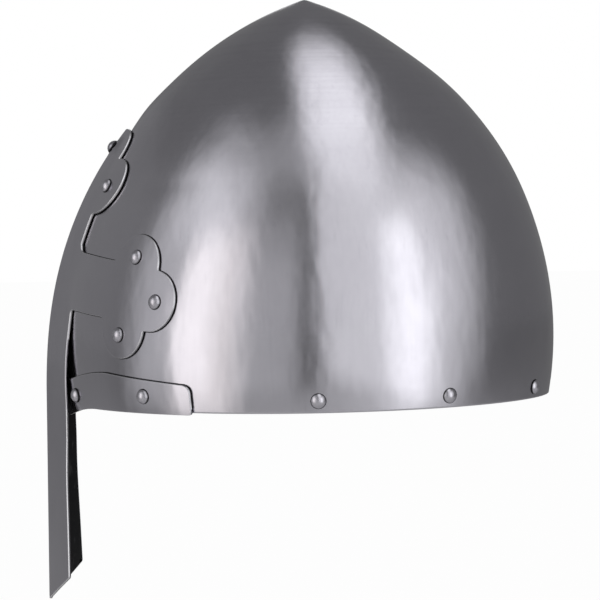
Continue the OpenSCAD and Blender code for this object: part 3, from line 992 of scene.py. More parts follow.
@dataclass(frozen=True)
class Leather:
    """Vegetable-tanned leather: pebbled grain, fine creases and darker handled patches.

    Attributes:
        name: The material's name.
        light: Colour of clean leather, linear.
        dark: Colour of the handled patches.
        roughness: The usual roughness.
        pebbles: Cells of the grain a metre.
        creases: Cells of the fine creases.
        patches: Cells of the handled patches.
        depth: Depth of the grain in metres.
    """

    name: str
    light: Triple = (0.30, 0.155, 0.07)
    dark: Triple = (0.13, 0.062, 0.028)
    roughness: float = 0.55
    pebbles: float = 620.0
    creases: float = 160.0
    patches: float = 22.0
    depth: float = 0.00035

    def make(self) -> bpy.types.Material:
        """Mixes the grain, the creases and the patches.

        Returns:
            The material.
        """
        p = Painter(self.name)
        shape = {"feature": "SMOOTH_F1"}
        pebble = p.out(p.node("TexVoronoi", shape, Vector=p.place(), Scale=self.pebbles, Smoothness=0.7))
        creases = p.noise(self.creases, 5.0, 0.65)
        patch = p.noise(self.patches, 4.0, 0.6).step(0.35, 0.68)
        tone = (patch * 0.65 + creases * 0.5 - pebble * 0.25 + 0.02).clip()
        rough = creases * 0.2 + patch * -0.1 + (self.roughness - 0.05)
        normal = p.bump(pebble * -0.6 + creases * 0.8, self.depth, 0.8)
        colour = p.blend(self.dark, self.light, tone)
        return p.finish(Base_Color=colour, Roughness=rough.clip(), Normal=normal)


# ------------------------------------------------------------------ the pieces


def put_in_place(piece: bpy.types.Object, slot: Slot, material: bpy.types.Material, *nodes: str) -> None:
    """Gives a piece its material and body, and lets it stand for its solids.

    Args:
        piece: The piece.
        slot: The record's slot for its material; not used.
        material: The material.
        nodes: Names of the solids that it stands for.
    """
    piece.data.materials.append(material)
    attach(piece, ROOT)
    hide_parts(*nodes)
    LOG.info("%s: %d faces", piece.name, len(piece.data.polygons))


@dataclass
class Skull:
    """The one-piece skull: a profile carried round the vertical axis along the section ovals.

    Attributes:
        wall: The steel's thickness.
        edge: The radius of the rim's rounded edges.
        turns: The angles of the rings of vertices round an edge.
        columns: Faces round the shell.
        rows: Faces up each side of it.
        bunching: How many degrees the columns are drawn towards the front.
        row_spread: The power by which the rows spread up the shell.
        first_row: The share of the height at which the first row above the rim lies.
        swells: The hammer's broad marks, each with its side (1 front, -1 rear), height, reach and
            size, which is how far it pushes the side outwards.
    """

    wall: float = LAYERS.skull_wall
    edge: float = 0.45
    turns: Triple = (30.0, 60.0, 90.0)
    columns: int = 288
    rows: int = 96
    bunching: float = 9.0
    row_spread: float = 0.9
    first_row: float = 0.0015
    swells: tuple[Quad, ...] = (
        (-1, 174, 15, -2.1),
        (-1, 118, 26, 0.65),
        (1, 146, 9, 0.8),
    )

    def profile(self) -> tuple[Array, Array]:
        """The shell's profile from the point inside, round the rim, to the point outside.

        Returns:
            The heights, and the distances from the outer face.
        """

        def face(k: float, first: float) -> Array:
            """Heights up the surface k: widest + R sin(angle), the angle spread by a power.

            Args:
                k: The surface's distance from the outer face.
                first: The lowest height.

            Returns:
                The heights.
            """
            radius = FORM.arc_radius + k
            low = math.asin((first - FORM.widest) / radius)
            high = math.acos(FORM.arc_back / radius)
            share = np.linspace(0, 1, self.rows) ** self.row_spread
            share[1] = self.first_row
            return FORM.widest + radius * np.sin(low + (high - low) * share)

        outer, inner = face(0.0, self.edge), face(-self.wall, self.edge)
        turn = np.radians(self.turns)
        drop = self.edge * (1 - np.sin(turn))
        move = self.edge * (1 - np.cos(turn))
        z = np.concatenate([inner[::-1], drop, drop[::-1], outer])
        deep, flush = np.full(self.rows, -self.wall), np.zeros(self.rows)
        return z, np.concatenate([deep, move - self.wall, -move[::-1], flush])

    def hammered(self, rings: Array, t: Array, z: Array) -> Array:
        """The shell as the hammer left it: each swell moves a side by size exp(-((z - at) / reach)^2).

        A swell counts fully at its own side, front or rear, and fades to nothing at the other.

        Args:
            rings: The shell's points, in rows from the profile.
            t: Their plan angles.
            z: Their heights.

        Returns:
            The same points, moved along y.
        """
        c = np.cos(np.radians(t))
        for side, at, reach, size in self.swells:
            share = np.maximum(0, side * c) ** 2 * np.exp(-(((z - at) / reach) ** 2))
            rings[..., 1] -= side * size * share
        return rings

    def build(self) -> bpy.types.Object:
        """The closed shell, with a point vertex at each end of the profile.

        Column t = 360 u - bunching sin(2 pi u), for u spread evenly from 0 to 1.

        Returns:
            The piece.
        """
        u = np.arange(self.columns) / self.columns
        t = 360 * u - self.bunching * np.sin(2 * np.pi * u)
        z, k = self.profile()
        rings = FORM.skin(t[None, :], z[1:-1, None], k[1:-1, None])
        rings = self.hammered(rings, t[None, :], z[1:-1, None])
        n_rows = len(z) - 2
        grid = np.arange(n_rows * self.columns).reshape(n_rows, self.columns)
        poles = np.array([[0, 0, z[0]], [0, 0, z[-1]]])
        vertices = np.concatenate([rings.reshape(-1, 3), poles])
        under, over = n_rows * self.columns, n_rows * self.columns + 1
        quads = np.concatenate([ring_quads(grid[i], grid[i + 1]) for i in range(n_rows - 1)])
        nxt = np.roll(np.arange(self.columns), -1)
        caps = [
            np.stack([np.full(self.columns, under), grid[0][nxt], grid[0]], 1),
            np.stack([grid[-1], grid[-1][nxt], np.full(self.columns, over)], 1),
        ]
        return new_piece("skull_shell", vertices, [quads, *caps])

    def add(self, steel: bpy.types.Material) -> None:
        """Builds and dresses the skull."""
        put_in_place(self.build(), Slot.SKULL, steel, "skull")


@dataclass
class CrossNasal:
    """The V-folded nasal and bar, its two arms and its three trefoils, cut from one sheet.

    Attributes:
        nasal_drop: The depth of the nasal's foot below the rim.
        foot_width: The foot's width, measured flat from the front.
        foot_point: How high the foot's corners lie over its point.
        waist_width: The nasal's width at the brow.
        waist_reach: Half the height over which it keeps that width.
        bar_width: The upright bar's width.
        neck_width: Its width below the front trefoil.
        widening: How far below the arms the bar has come to its width.
        narrowing: How far above the arms it has come to its neck's.
        lift_brow: The ridge's distance from the skull at the brow.
        lift_top: The same at its top end.
        lean: How far the nasal's foot stands forward of its root.
        fold_foot: The flanks' slope at the foot.
        fold_rim: The same at the rim.
        fold_arms: The same at the arms.
        fold_top: The same at the top.
        fold_ease: The heights between which the slope changes above the arms.
        brow_fold: Further slope near the brow, with its height and its reach.
        arm_low: Heights of an arm's lower edge at the bar and at its trefoil.
        arm_high: Heights of its upper edge there.
        arm_aim: How far before a lobe's middle an arm's edge heads for, in the lobe's radii.
        side_angle: The plan angle of a side trefoil's middle.
        side_height: The height of that middle.
        side_tilt: How far the trefoil's end is turned down.
        side_lobe: The offset and the radius of its upper and lower lobes.
        end_lobe: The offsets outwards and upwards of its end lobe, and the radius.
        front_lobe: The offset, the height and the radius of the front trefoil's side lobes.
        top_lobe: The height and the radius of its top lobe.
        roundings: How far the outline's corners are rounded, from the foot to the upper notch.
        root_rounding: The same where an arm's edges meet its trefoil.
        notch_rounding: The same between a side trefoil's lobes.
        nasal_start: The height at which the ridge leaves the skull's line and runs straight down.
        ridge_bulge: The share of the ridge's lift that comes only close to the brow.
        ridge_radius: The radius of the fold's nose.
        fillet: How softly the fold runs into the skull's face.
        root_height: The height up to which the nasal's free flanks go over to the skull's face.
        turn_start: The distance across at which the fold begins to turn back.
        turn_back: How fast it does.
        hug: The share of the way to the skull to which the upper sheet is beaten down.
        hug_heights: The heights over which that grows.
        hug_sides: The distances across over which that grows.
        top_rivet: The height of the rivet on the ridge.
        pad: The radius of the flat pad under it.
        pad_fade: The width over which the pad goes over to the fold.
        corner: The distance from the ridge within which the inner face lies straight behind.
        touch: The gaps to the skull's face over which the plate counts as off it.
        spacing: Distances of the mesh's points across and upwards.
        fold_columns: Distances from the ridge of the closer columns of points beside it.
        fold_step: The distance of those points upwards.
        edge: The radius of the outer face's rounded edges.
        under: The radius of the inner face's rounded edges.
    """

    nasal_drop: float = 99.5
    foot_width: float = 51.0
    foot_point: float = 14.6
    waist_width: float = 32.0
    waist_reach: float = 8.0
    bar_width: float = 32.8
    neck_width: float = 27.2
    widening: float = 10.0
    narrowing: float = 4.0
    lift_brow: float = 13.8
    lift_top: float = 3.4
    lean: float = 1.2
    fold_foot: float = 26.2
    fold_rim: float = 34.0
    fold_arms: float = 36.6
    fold_top: float = 32.4
    fold_ease: Pair = (45.0, 95.0)
    brow_fold: Triple = (3.2, -8.0, 20.0)
    arm_low: Pair = (46.4, 43.2)
    arm_high: Pair = (74.6, 70.0)
    arm_aim: float = 0.8
    side_angle: float = 44.6
    side_height: float = 53.5
    side_tilt: float = 12.0
    side_lobe: Pair = (14.1, 15.4)
    end_lobe: Triple = (16.1, 1.5, 14.4)
    front_lobe: Triple = (14.6, 106.9, 13.3)
    top_lobe: Pair = (122.4, 13.0)
    roundings: tuple[float, ...] = (0.9, 6.0, 2.0, 2.0, 1.6, 0.5)
    root_rounding: float = 2.2
    notch_rounding: float = 0.5
    nasal_start: float = 8.0
    ridge_bulge: float = 0.19
    ridge_radius: float = 0.35
    fillet: float = 0.25
    root_height: float = 12.0
    turn_start: float = 32.0
    turn_back: float = 0.05
    hug: float = 0.75
    hug_heights: Pair = (64.0, 84.0)
    hug_sides: Pair = (6.0, 13.0)
    top_rivet: float = 126.6
    pad: float = 2.6
    pad_fade: float = 3.2
    corner: float = 4.0
    touch: Pair = (0.2, 1.0)
    spacing: Pair = (1.5, 1.9)
    fold_columns: tuple[float, ...] = (0.35, 0.75, 1.4, 2.4)
    fold_step: float = 1.8
    edge: float = 0.28
    under: float = 0.6

    @property
    def top(self) -> float:
        """Height of the ridge's top end."""
        return sum(self.top_lobe)

    def ridge_y(self, z: Array) -> Array:
        """The ridge: it follows the skull at a growing distance to the brow, then runs straight.

        With u running from 0 at the top to 1 at the brow, the distance is mixed by (1 - bulge) u +
        bulge u^6.

        Args:
            z: Heights.

        Returns:
            The ridge's y at each height.
        """
        level = np.maximum(z, self.nasal_start)
        u = np.clip((self.top - level) / (self.top - self.nasal_start), 0, 1)
        lift = mix(self.lift_top, self.lift_brow, (1 - self.ridge_bulge) * u + self.ridge_bulge * u**6)
        below = np.maximum(0, self.nasal_start - z)
        return -FORM.half_length(level, 0) - lift - self.lean * below / (self.nasal_start + self.nasal_drop)

    def slope(self, z: Array) -> Array:
        """The flanks' slope.

        The angle runs straight from height to height and eases above the arms, and near the brow it
        has a further size exp(-((z - at) / reach)^2).

        Args:
            z: Heights.

        Returns:
            The slope's tangent at each height.
        """
        low, high = self.fold_ease
        size, at, reach = self.brow_fold
        more = size * np.exp(-(((z - at) / reach) ** 2))
        nasal = mix(self.fold_rim, self.fold_foot, np.clip(-z / self.nasal_drop, 0, 1))
        brow = mix(self.fold_rim, self.fold_arms, np.clip(z / low, 0, 1))
        upper = mix(self.fold_arms, self.fold_top, ease((z - low) / (high - low)))
        return np.tan(np.radians(np.where(z < 0, nasal, np.where(z < low, brow, upper)) + more))

    def flank_y(self, x: Array, z: Array) -> Array:
        """The folded face: ridge + slope (sqrt(x^2 + r^2) - r), a V with a small round nose."""
        r = self.ridge_radius
        return self.ridge_y(z) + self.slope(z) * (np.sqrt(x * x + r * r) - r)

    def surface(self, q: Array) -> Array:
        """The outer face: whichever of the fold and the skull's face lies further forward.

        The two meet in a small fillet, (a + b - sqrt((a - b)^2 + f^2)) / 2. The fold is beaten flat
        in a pad under the top rivet. Out on the arms it turns back, by a square of the distance,
        so that only the skull's face is left. Above the arms the sheet is hammered most of the
        way down to the skull.

        Args:
            q: Sheet coordinates, which are x and z.

        Returns:
            The points of the face.
        """
        x, z = q[:, 0], q[:, 1]
        pad = ease((np.hypot(x, z - self.top_rivet) - self.pad) / self.pad_fade)
        a = self.flank_y(x * pad, z) + self.turn_back * np.maximum(0, np.abs(x) - self.turn_start) ** 2
        b = FORM.front_y(x, z, LAYERS.plate_face)
        y = (a + b - np.sqrt((a - b) ** 2 + self.fillet**2)) / 2
        y = np.where(z < 0, a, mix(a, y, ease(z / self.root_height)))
        low, high = self.hug_heights
        near, far = self.hug_sides
        hug = self.hug * ease((np.abs(x) - near) / (far - near)) * ease((z - low) / (high - low))
        return np.stack([x, mix(y, b, hug), z], 1)

    def inward(self, q: Array, normal: Array) -> Array:
        """The way to the inner face: along the normal, and straight back at the fold's inner corner.

        Args:
            q: Sheet coordinates.
            normal: The outer face's normals.

        Returns:
            The vectors to the inner face.
        """
        wall = LAYERS.plate_wall
        back = np.zeros_like(normal)
        back[:, 1] = wall * np.sqrt(1 + self.slope(q[:, 1]) ** 2)
        return mix(back, -normal * wall, ease(np.abs(q[:, :1]) / self.corner))

    def laid(self, q: Array) -> Array:
        """The share to which points lie against the skull.

        Args:
            q: Sheet coordinates.

        Returns:
            1 where they lie on it, 0 where they are clear of it, and 0 below the rim.
        """
        on, clear = self.touch
        off = FORM.front_y(q[:, 0], q[:, 1], LAYERS.plate_face) - self.surface(q)[:, 1]
        return np.where(q[:, 1] > 0, 1 - ease((off - on) / (clear - on)), 0.0)

    def side_frame(self) -> tuple[Array, float]:
        """The plane that a side trefoil is laid out in.

        Returns:
            Its middle, and its plan angle in radians.
        """
        middle = FORM.skin(self.side_angle, self.side_height, LAYERS.plate_face)
        n = FORM.normal(self.side_angle, self.side_height, LAYERS.plate_face)
        return middle, math.atan2(n[0], -n[1])

    def from_side(self, h: Array, v: Array) -> Array:
        """Sheet coordinates of points laid out from the side trefoil's middle.

        The distance h rearwards grows steadily with x, so x is found by halving its range.

        Args:
            h: Distances rearwards.
            v: Distances upwards.

        Returns:
            The sheet coordinates.
        """
        middle, turn = self.side_frame()
        z = self.side_height + np.asarray(v, float)
        low = np.full_like(z, NEAR_MIDDLE)
        high = FORM.half_length(z, LAYERS.plate_face) * FORM.ratio(LAYERS.plate_face) * NEAR_SIDE
        for _ in range(HALVINGS):
            x = (low + high) / 2
            y = FORM.front_y(x, z, LAYERS.plate_face)
            far = (x - middle[0]) * math.cos(turn) + (y - middle[1]) * math.sin(turn) > h
            high = np.where(far, x, high)
            low = np.where(far, low, x)
        return np.stack([(low + high) / 2, z], 1)

    def to_side(self, x: float, z: float) -> Array:
        """The place of a sheet point as laid out from the side trefoil's middle.

        Args:
            x: The point's place across.
            z: Its height.

        Returns:
            Its distances rearwards and upwards.
        """
        middle, turn = self.side_frame()
        y = float(FORM.front_y(np.array([x]), np.array([z]), LAYERS.plate_face)[0])
        h = (x - middle[0]) * math.cos(turn) + (y - middle[1]) * math.sin(turn)
        return np.array([h, z - self.side_height])

    def tilted(self, u: float, v: float) -> Array:
        """A point of the tilted side trefoil: u towards its end lobe, v upwards."""
        c, s = math.cos(math.radians(self.side_tilt)), math.sin(math.radians(self.side_tilt))
        return np.array([u * c + v * s, v * c - u * s])

    def arm(self) -> Array:
        """The outline of one arm: two straight edges and, between them, the arcs of three lobes.

        Returns:
            Sheet coordinates from the bar's edge round the trefoil and back to the bar.
        """
        upper, lower = self.tilted(0, self.side_lobe[0]), self.tilted(0, -self.side_lobe[0])
        end = self.tilted(*self.end_lobe[:2])
        r, r_end = self.side_lobe[1], self.end_lobe[2]
        half = self.bar_width / 2
        foot, head = self.to_side(half, self.arm_low[0]), self.to_side(half, self.arm_high[0])
        root = np.array([max(head[0], foot[0] + ROOT_STEP), foot[1]])
        low_end = np.array([lower[0] - self.arm_aim * r, self.arm_low[1] - self.side_height])
        high_end = np.array([upper[0] - self.arm_aim * r, self.arm_high[1] - self.side_height])
        low_hit = line_meets_circle(root, low_end, lower, r)
        high_hit = line_meets_circle(head, high_end, upper, r)
        notch_low = circles_meet(lower, r, end, r_end, -1)
        notch_high = circles_meet(upper, r, end, r_end, 1)
        pieces = [
            np.array([foot, low_hit]),
            arc_between(lower, r, low_hit, notch_low),
            arc_between(end, r_end, notch_low, notch_high),
            arc_between(upper, r, notch_high, high_hit),
            np.array([high_hit, head]),
        ]
        ends, notches = [self.root_rounding], [self.notch_rounding] * 2
        line = joined(pieces, ends + notches + ends)
        return self.from_side(line[:, 0], line[:, 1])

    def outline(self) -> Array:
        """The whole outline: its left half from the foot's point to the top, and the same mirrored.

        Returns:
            Its sheet coordinates, counter-clockwise as seen from the front.
        """
        half = self.bar_width / 2
        offset, height, r = self.front_lobe
        lobe, top = np.array([offset, height]), np.array([0, self.top_lobe[0]])
        neck = self.neck_width / 2
        into = np.array([neck, height - math.sqrt(r * r - (offset - neck) ** 2)])
        notch = circles_meet(lobe, r, top, self.top_lobe[1], -1)
        point, foot = (0, -self.nasal_drop), (self.foot_width / 2, self.foot_point - self.nasal_drop)
        waist, reach = self.waist_width / 2, self.waist_reach
        low, high = self.arm_low[0], self.arm_high[0]
        stretches = [
            np.array([point, foot]),
            np.array([foot, (waist, -reach)]),
            np.array([(waist, -reach), (waist, reach), (half, low - self.widening), (half, low)]),
            self.arm(),
            np.array([(half, high), (neck, high + self.narrowing), into]),
            arc_between(lobe, r, into, notch),
            arc(top, self.top_lobe[1], angle_of(notch, top), 90),
        ]
        left = joined(stretches, self.roundings)
        return np.concatenate([left, left[-2:0:-1] * [-1, 1]])

    def fold_lines(self) -> Array:
        """Points in close columns beside the ridge, so that its small nose is round.

        Returns:
            Their sheet coordinates.
        """
        z = np.arange(-self.nasal_drop, self.top, self.fold_step)
        side = np.array(self.fold_columns)
        u, v = np.meshgrid(np.concatenate([-side[::-1], [0.0], side]), z)
        return np.stack([u.ravel(), v.ravel()], 1)

    def add(self, steel: bpy.types.Material) -> None:
        """Builds and dresses the plate.

        Args:
            steel: The material.
        """
        sheet = CutSheet(self.surface, LAYERS.plate_wall, self.edge, self.under, self.inward, self.laid)
        piece = sheet.build("cross_nasal_plate", [self.outline()], self.spacing, self.fold_lines())
        put_in_place(piece, Slot.PLATE, steel, "cross_nasal")


@dataclass
class BrowBand:
    """The band over the brows: peaks over the eyes and a dip to the root of the nose.

    Attributes:
        end_angle: The plan angle of its ends.
        peak_angle: The plan angle of its peaks.
        top_middle: The upper edge's height in the middle.
        top_peak: The same at the peaks.
        top_end: The same at the ends.
        dip_middle: The lower edge's depth below the rim in the middle.
        dip: The same from dip_angle on.
        dip_angle: The plan angle at which the dip ends.
        corner: The rounding of the upper corners.
        foot_corner: The rounding of the lower ones.
        edge: The radius of the outer face's rounded edges.
        under: The radius of the inner face's rounded edges.
        laid_height: The height from which its rim lies against the skull.
        mm_per_degree: The length of a degree along it.
        spacing: Distances of the mesh's points along and upwards.
        points: Points along each long edge.
    """

    end_angle: float = 62.2
    peak_angle: float = 36.0
    top_middle: float = 9.5
    top_peak: float = 17.0
    top_end: float = 12.6
    dip_middle: float = 7.2
    dip: float = 1.0
    dip_angle: float = 30.0
    corner: float = 4.0
    foot_corner: float = 1.2
    edge: float = 0.25
    under: float = 0.6
    laid_height: float = 6.0
    mm_per_degree: float = 1.9
    spacing: Pair = (2.2, 2.2)
    points: int = 180

    def surface(self, q: Array) -> Array:
        """Points of the band's face at plan angle q0 / mm_per_degree and height q1."""
        return FORM.skin(q[:, 0] / self.mm_per_degree, q[:, 1], LAYERS.band_face)

    def outline(self) -> Array:
        """The lower edge, an end, the upper edge and the other end, with rounded corners.

        The upper edge eases up to the peaks and falls straight from them to the ends.

        Returns:
            Sheet coordinates of the closed line.
        """
        t = np.linspace(-self.end_angle, self.end_angle, self.points)
        low = mix(-self.dip_middle, -self.dip, ease(np.abs(t) / self.dip_angle))
        rise = mix(self.top_middle, self.top_peak, ease(np.abs(t) / self.peak_angle))
        past = (np.abs(t) - self.peak_angle) / (self.end_angle - self.peak_angle)
        high = np.where(past < 0, rise, mix(self.top_peak, self.top_end, past))
        q = t * self.mm_per_degree
        lower, upper = np.stack([q, low], 1), np.stack([q[::-1], high[::-1]], 1)
        ends = [np.array([lower[-1], upper[0]]), np.array([upper[-1], lower[0]])]
        middle = len(t) // 2
        sides = [lower[middle:], ends[0], upper, ends[1], lower[: middle + 1]]
        return joined(sides, [self.foot_corner, self.corner, self.corner, self.foot_corner])[:-1]

    def laid(self, q: Array) -> Array:
        """The share to which rim points lie against the skull, which grows with their height."""
        return ease(q[:, 1] / self.laid_height)

    def add(self, steel: bpy.types.Material) -> None:
        """Builds and dresses the band.

        Args:
            steel: The material.
        """
        sheet = CutSheet(self.surface, LAYERS.band_wall, self.edge, self.under, joint=self.laid)
        piece = sheet.build("brow_band_plate", [self.outline()], self.spacing)
        put_in_place(piece, Slot.PLATE, steel, "brow_band")


@dataclass(frozen=True)
class Place:
    """Where a rivet sits.

    Attributes:
        point: The middle of its seat.
        normal: The outward unit normal there.
        grip: The depth of its peened end.
        rise: The height of its head.
        collar: How far the head's side reaches below the seat, to meet a folded plate.
    """

    point: Array
    normal: Array
    grip: float
    rise: float
    collar: float = 0.0

    def mirrored(self) -> "Place":
        """The same place on the other side."""
        flip = np.array([-1.0, 1.0, 1.0])
        return Place(self.point * flip, self.normal * flip, self.grip, self.rise, self.collar)


@dataclass
class Rivets:
    """All the domed rivets, each a turned profile set on its place.

    Attributes:
        cross: The plate that carries the trefoils' rivets.
        head: The heads' radius.
        rise: Their height on the plates.
        low_rise: Their height on the bare skull.
        lip: The width of the rounded lip round a head's foot.
        shank: The shanks' radius.
        peen: The radius and the depth of a peened end.
        seat: The gap under a head.
        slack: How far a shank passes what it holds.
        collar: How far the top rivet's side reaches down to meet the folded plate.
        neck: The radius of that side.
        peen_turns: The angles of the rings of vertices round a peened end.
        dome_rings: Rings of vertices on a head.
        steps: Faces round a rivet.
        sharp_angle: The angle between two faces from which their edge is shaded sharp.
        side: The side trefoil's rivets, as distances towards its end and upwards.
        front_offset: The distance of the front trefoil's lower rivets from the middle.
        brow: The brow band's rivets, as plan angle and height.
        rim: The plan angles of the rim's rivets.
        rim_height: Their height.
        foot_shade_from: The share of a head's radius from which painted shade shows at its foot, as in the
            crevice under the head.
        foot_shade_width: The share over which it grows.
        painted_shade: How strong the painted shade grows on the dome.
        neck_shade: How strong the painted shade is on the neck.
    """

    cross: CrossNasal
    head: float = 3.65
    rise: float = 2.6
    low_rise: float = 2.1
    lip: float = 0.25
    shank: float = 2.0
    peen: Pair = (3.0, 1.2)
    seat: float = 0.08
    slack: float = 0.55
    collar: float = 1.9
    neck: float = 2.5
    peen_turns: tuple[float, ...] = (0.0, 25.0, 50.0, 75.0)
    dome_rings: int = 12
    steps: int = 40
    sharp_angle: float = 50.0
    side: tuple[Pair, ...] = ((-1.0, 18.6), (19.2, 1.6), (-0.6, -18.6))
    front_offset: float = 16.0
    brow: tuple[Pair, ...] = ((18.0, 4.5), (49.3, 7.1))
    rim: tuple[float, ...] = (91.2, 122.0, 153.8)
    rim_height: float = 5.6
    foot_shade_from: float = 0.82
    foot_shade_width: float = 0.15
    painted_shade: float = 0.75
    neck_shade: float = 0.4

    def on_skin(self, t: float, z: float, face: float, inner: float) -> Place:
        """A place on a surface that follows the skull.

        Args:
            t: The plan angle.
            z: The height.
            face: The distance of the face under the head.
            inner: The distance of the face on which the end is peened.

        Returns:
            The place.
        """
        rise = self.rise if face > 0 else self.low_rise
        seat, normal = FORM.skin(t, z, face), FORM.normal(t, z, face)
        grip = float(np.dot(seat - FORM.skin(t, z, inner), normal)) + self.slack
        return Place(seat, normal, grip, rise)

    def on_side(self, u: float, v: float) -> Place:
        """A place on the left side trefoil.

        Args:
            u: The distance towards the trefoil's end.
            v: The distance upwards.

        Returns:
            The place, whose plan angle is asin((x / b)^(e / 2)).
        """
        h, up = self.cross.tilted(u, v)
        x, z = self.cross.from_side(np.array([h]), np.array([up]))[0]
        e = float(FORM.power(np.array([True]), np.array([z]))[0])
        b = float(FORM.half_length(z, LAYERS.plate_face)) * FORM.ratio(LAYERS.plate_face)
        t = math.degrees(math.asin((x / b) ** (e / 2)))
        return self.on_skin(t, z, LAYERS.plate_face, -LAYERS.skull_wall)

    def on_flank(self, x: float, z: float) -> Place:
        """A place on the folded face, with its end inside the skull.

        Args:
            x: The distance across, 0 for the ridge.
            z: The height.

        Returns:
            The place, with a collar where it's on the ridge.
        """

        def y(a: float, b: float) -> float:
            """The y of the plate's face at x = a and z = b."""
            return float(self.cross.surface(np.array([[a, b]]))[0, 1])

        collar = self.collar if x == 0 else 0.0
        lean = 0.0 if x == 0 else (y(x + 1, z) - y(x - 1, z)) / 2
        normal = unit(np.array([lean, -1, (y(x, z + 1) - y(x, z - 1)) / 2]))
        clear = max(x, self.peen[0])
        behind = float(FORM.front_y(np.array([clear]), np.array([z]), -LAYERS.skull_wall)[0])
        grip = (behind - y(x, z)) * abs(normal[1]) + self.slack
        return Place(np.array([x, y(x, z), z]), normal, grip, self.rise, collar)

    def groups(self) -> dict[str, list[Place]]:
        """The places of each group of rivets.

        Returns:
            Lists of places by the name of their solids.
        """
        side = [self.on_side(u, v) for u, v in self.side]
        front = self.on_flank(self.front_offset, self.cross.front_lobe[1])
        brow = [self.on_skin(t, z, LAYERS.band_face, LAYERS.peen) for t, z in self.brow]
        rim = [self.on_skin(t, self.rim_height, 0, LAYERS.peen) for t in self.rim]
        places = {"trefoil_rivets": side, "brow_rivets": brow, "rim_rivets": rim}
        top = self.on_flank(0, self.cross.top_rivet)
        made = {"front_trefoil_rivets": [top, front, front.mirrored()]}
        for name, group in places.items():
            made["left_" + name] = group
            made["right_" + name] = [place.mirrored() for place in group]
        return made

    def profile(self, place: Place) -> Array:
        """A rivet's profile from the head's crown round its lip, down the shank to the peened end.

        The crown is a cap of a sphere of radius (r^2 + h^2) / 2h.

        Args:
            place: Where the rivet sits.

        Returns:
            Radii and heights over the seat.
        """
        r, h, grip, collar = self.head, place.rise, place.grip, place.collar
        ball = (r * r + h * h) / (2 * h)
        a = np.linspace(0, math.asin((r - self.lip) / ball), self.dome_rings)
        dome = np.stack([ball * np.sin(a), ball * np.cos(a) - ball + h], 1)
        # The lip turns in a little at its foot, and a collar goes on from there down to the plate.
        foot = [[r - 0.12, 0.0]]
        if collar:
            foot = [[r - 0.12, -0.2], [self.neck, -0.4], [self.neck, -collar]]
        lip = np.array([[r - 0.09, 0.16], [r, 0.06], *foot])
        p, depth = self.peen
        turn = np.radians(self.peen_turns)
        bottom = np.stack([p * np.cos(turn), -grip - depth * np.sin(turn)], 1)
        shank = np.array([[self.shank, -collar], [self.shank, -grip]])
        tail = np.array([[0.0, -grip - depth]])
        return np.concatenate([dome, lip, shank, bottom, tail]) + [0, self.seat]

    def turned(self, places: list[Place], name: str) -> bpy.types.Object:
        """Turns a rivet about the normal at each place: radius (cos, sin), height.

        Args:
            places: Where the rivets sit.
            name: The piece's name.

        Returns:
            The piece.
        """
        angle = np.linspace(0, 2 * np.pi, self.steps, endpoint=False)
        vertices, faces, shade, start = [], [], [], 0
        for place in places:
            rows = self.profile(place)
            side = unit(np.cross([0.0, 0.0, 1.0], place.normal))
            up = np.cross(place.normal, side)
            radial = np.cos(angle)[:, None] * side + np.sin(angle)[:, None] * up
            body = rows[1:-1]
            points = place.point + body[:, None, :1] * radial[None] + body[:, None, 1:] * place.normal
            ends = place.point + rows[[0, -1], 1:] * place.normal
            count = len(body)
            grid = start + np.arange(count * self.steps).reshape(count, self.steps)
            top, bottom = start + count * self.steps, start + count * self.steps + 1
            around = np.roll(grid, -1, 1)
            faces.append(np.stack([grid[1:], around[1:], around[:-1], grid[:-1]], -1).reshape(-1, 4))
            faces.append(np.stack([np.full(self.steps, top), grid[0], around[0]], 1))
            faces.append(np.stack([np.full(self.steps, bottom), around[-1], grid[-1]], 1))
            vertices += [points.reshape(-1, 3), ends]
            # Painted shade under the head: the dome darkens towards its foot, the lip's foot, collar and
            # shank go dark, and the neck is half dark.
            outwards = (body[:, 0] / self.head - self.foot_shade_from) / self.foot_shade_width
            painted_shade = np.where(body[:, 1] < self.lip, 1.0, self.painted_shade * ease(outwards))
            painted_shade[body[:, 0] == self.neck] = self.neck_shade
            shade.append(np.concatenate([np.repeat(painted_shade, self.steps), [0.0, 1.0]]))
            start += count * self.steps + 2
        piece = new_piece(name, np.concatenate(vertices), faces)
        paint(piece, "under", np.concatenate(shade))
        return piece

    def add(self, steel: bpy.types.Material) -> None:
        """Builds and dresses every group.

        Args:
            steel: The material.
        """
        for name, places in self.groups().items():
            piece = self.turned(places, name.replace("_rivets", "_rivet_heads"))
            piece.data.set_sharp_from_angle(angle=math.radians(self.sharp_angle))
            put_in_place(piece, Slot.RIVET, steel, name)


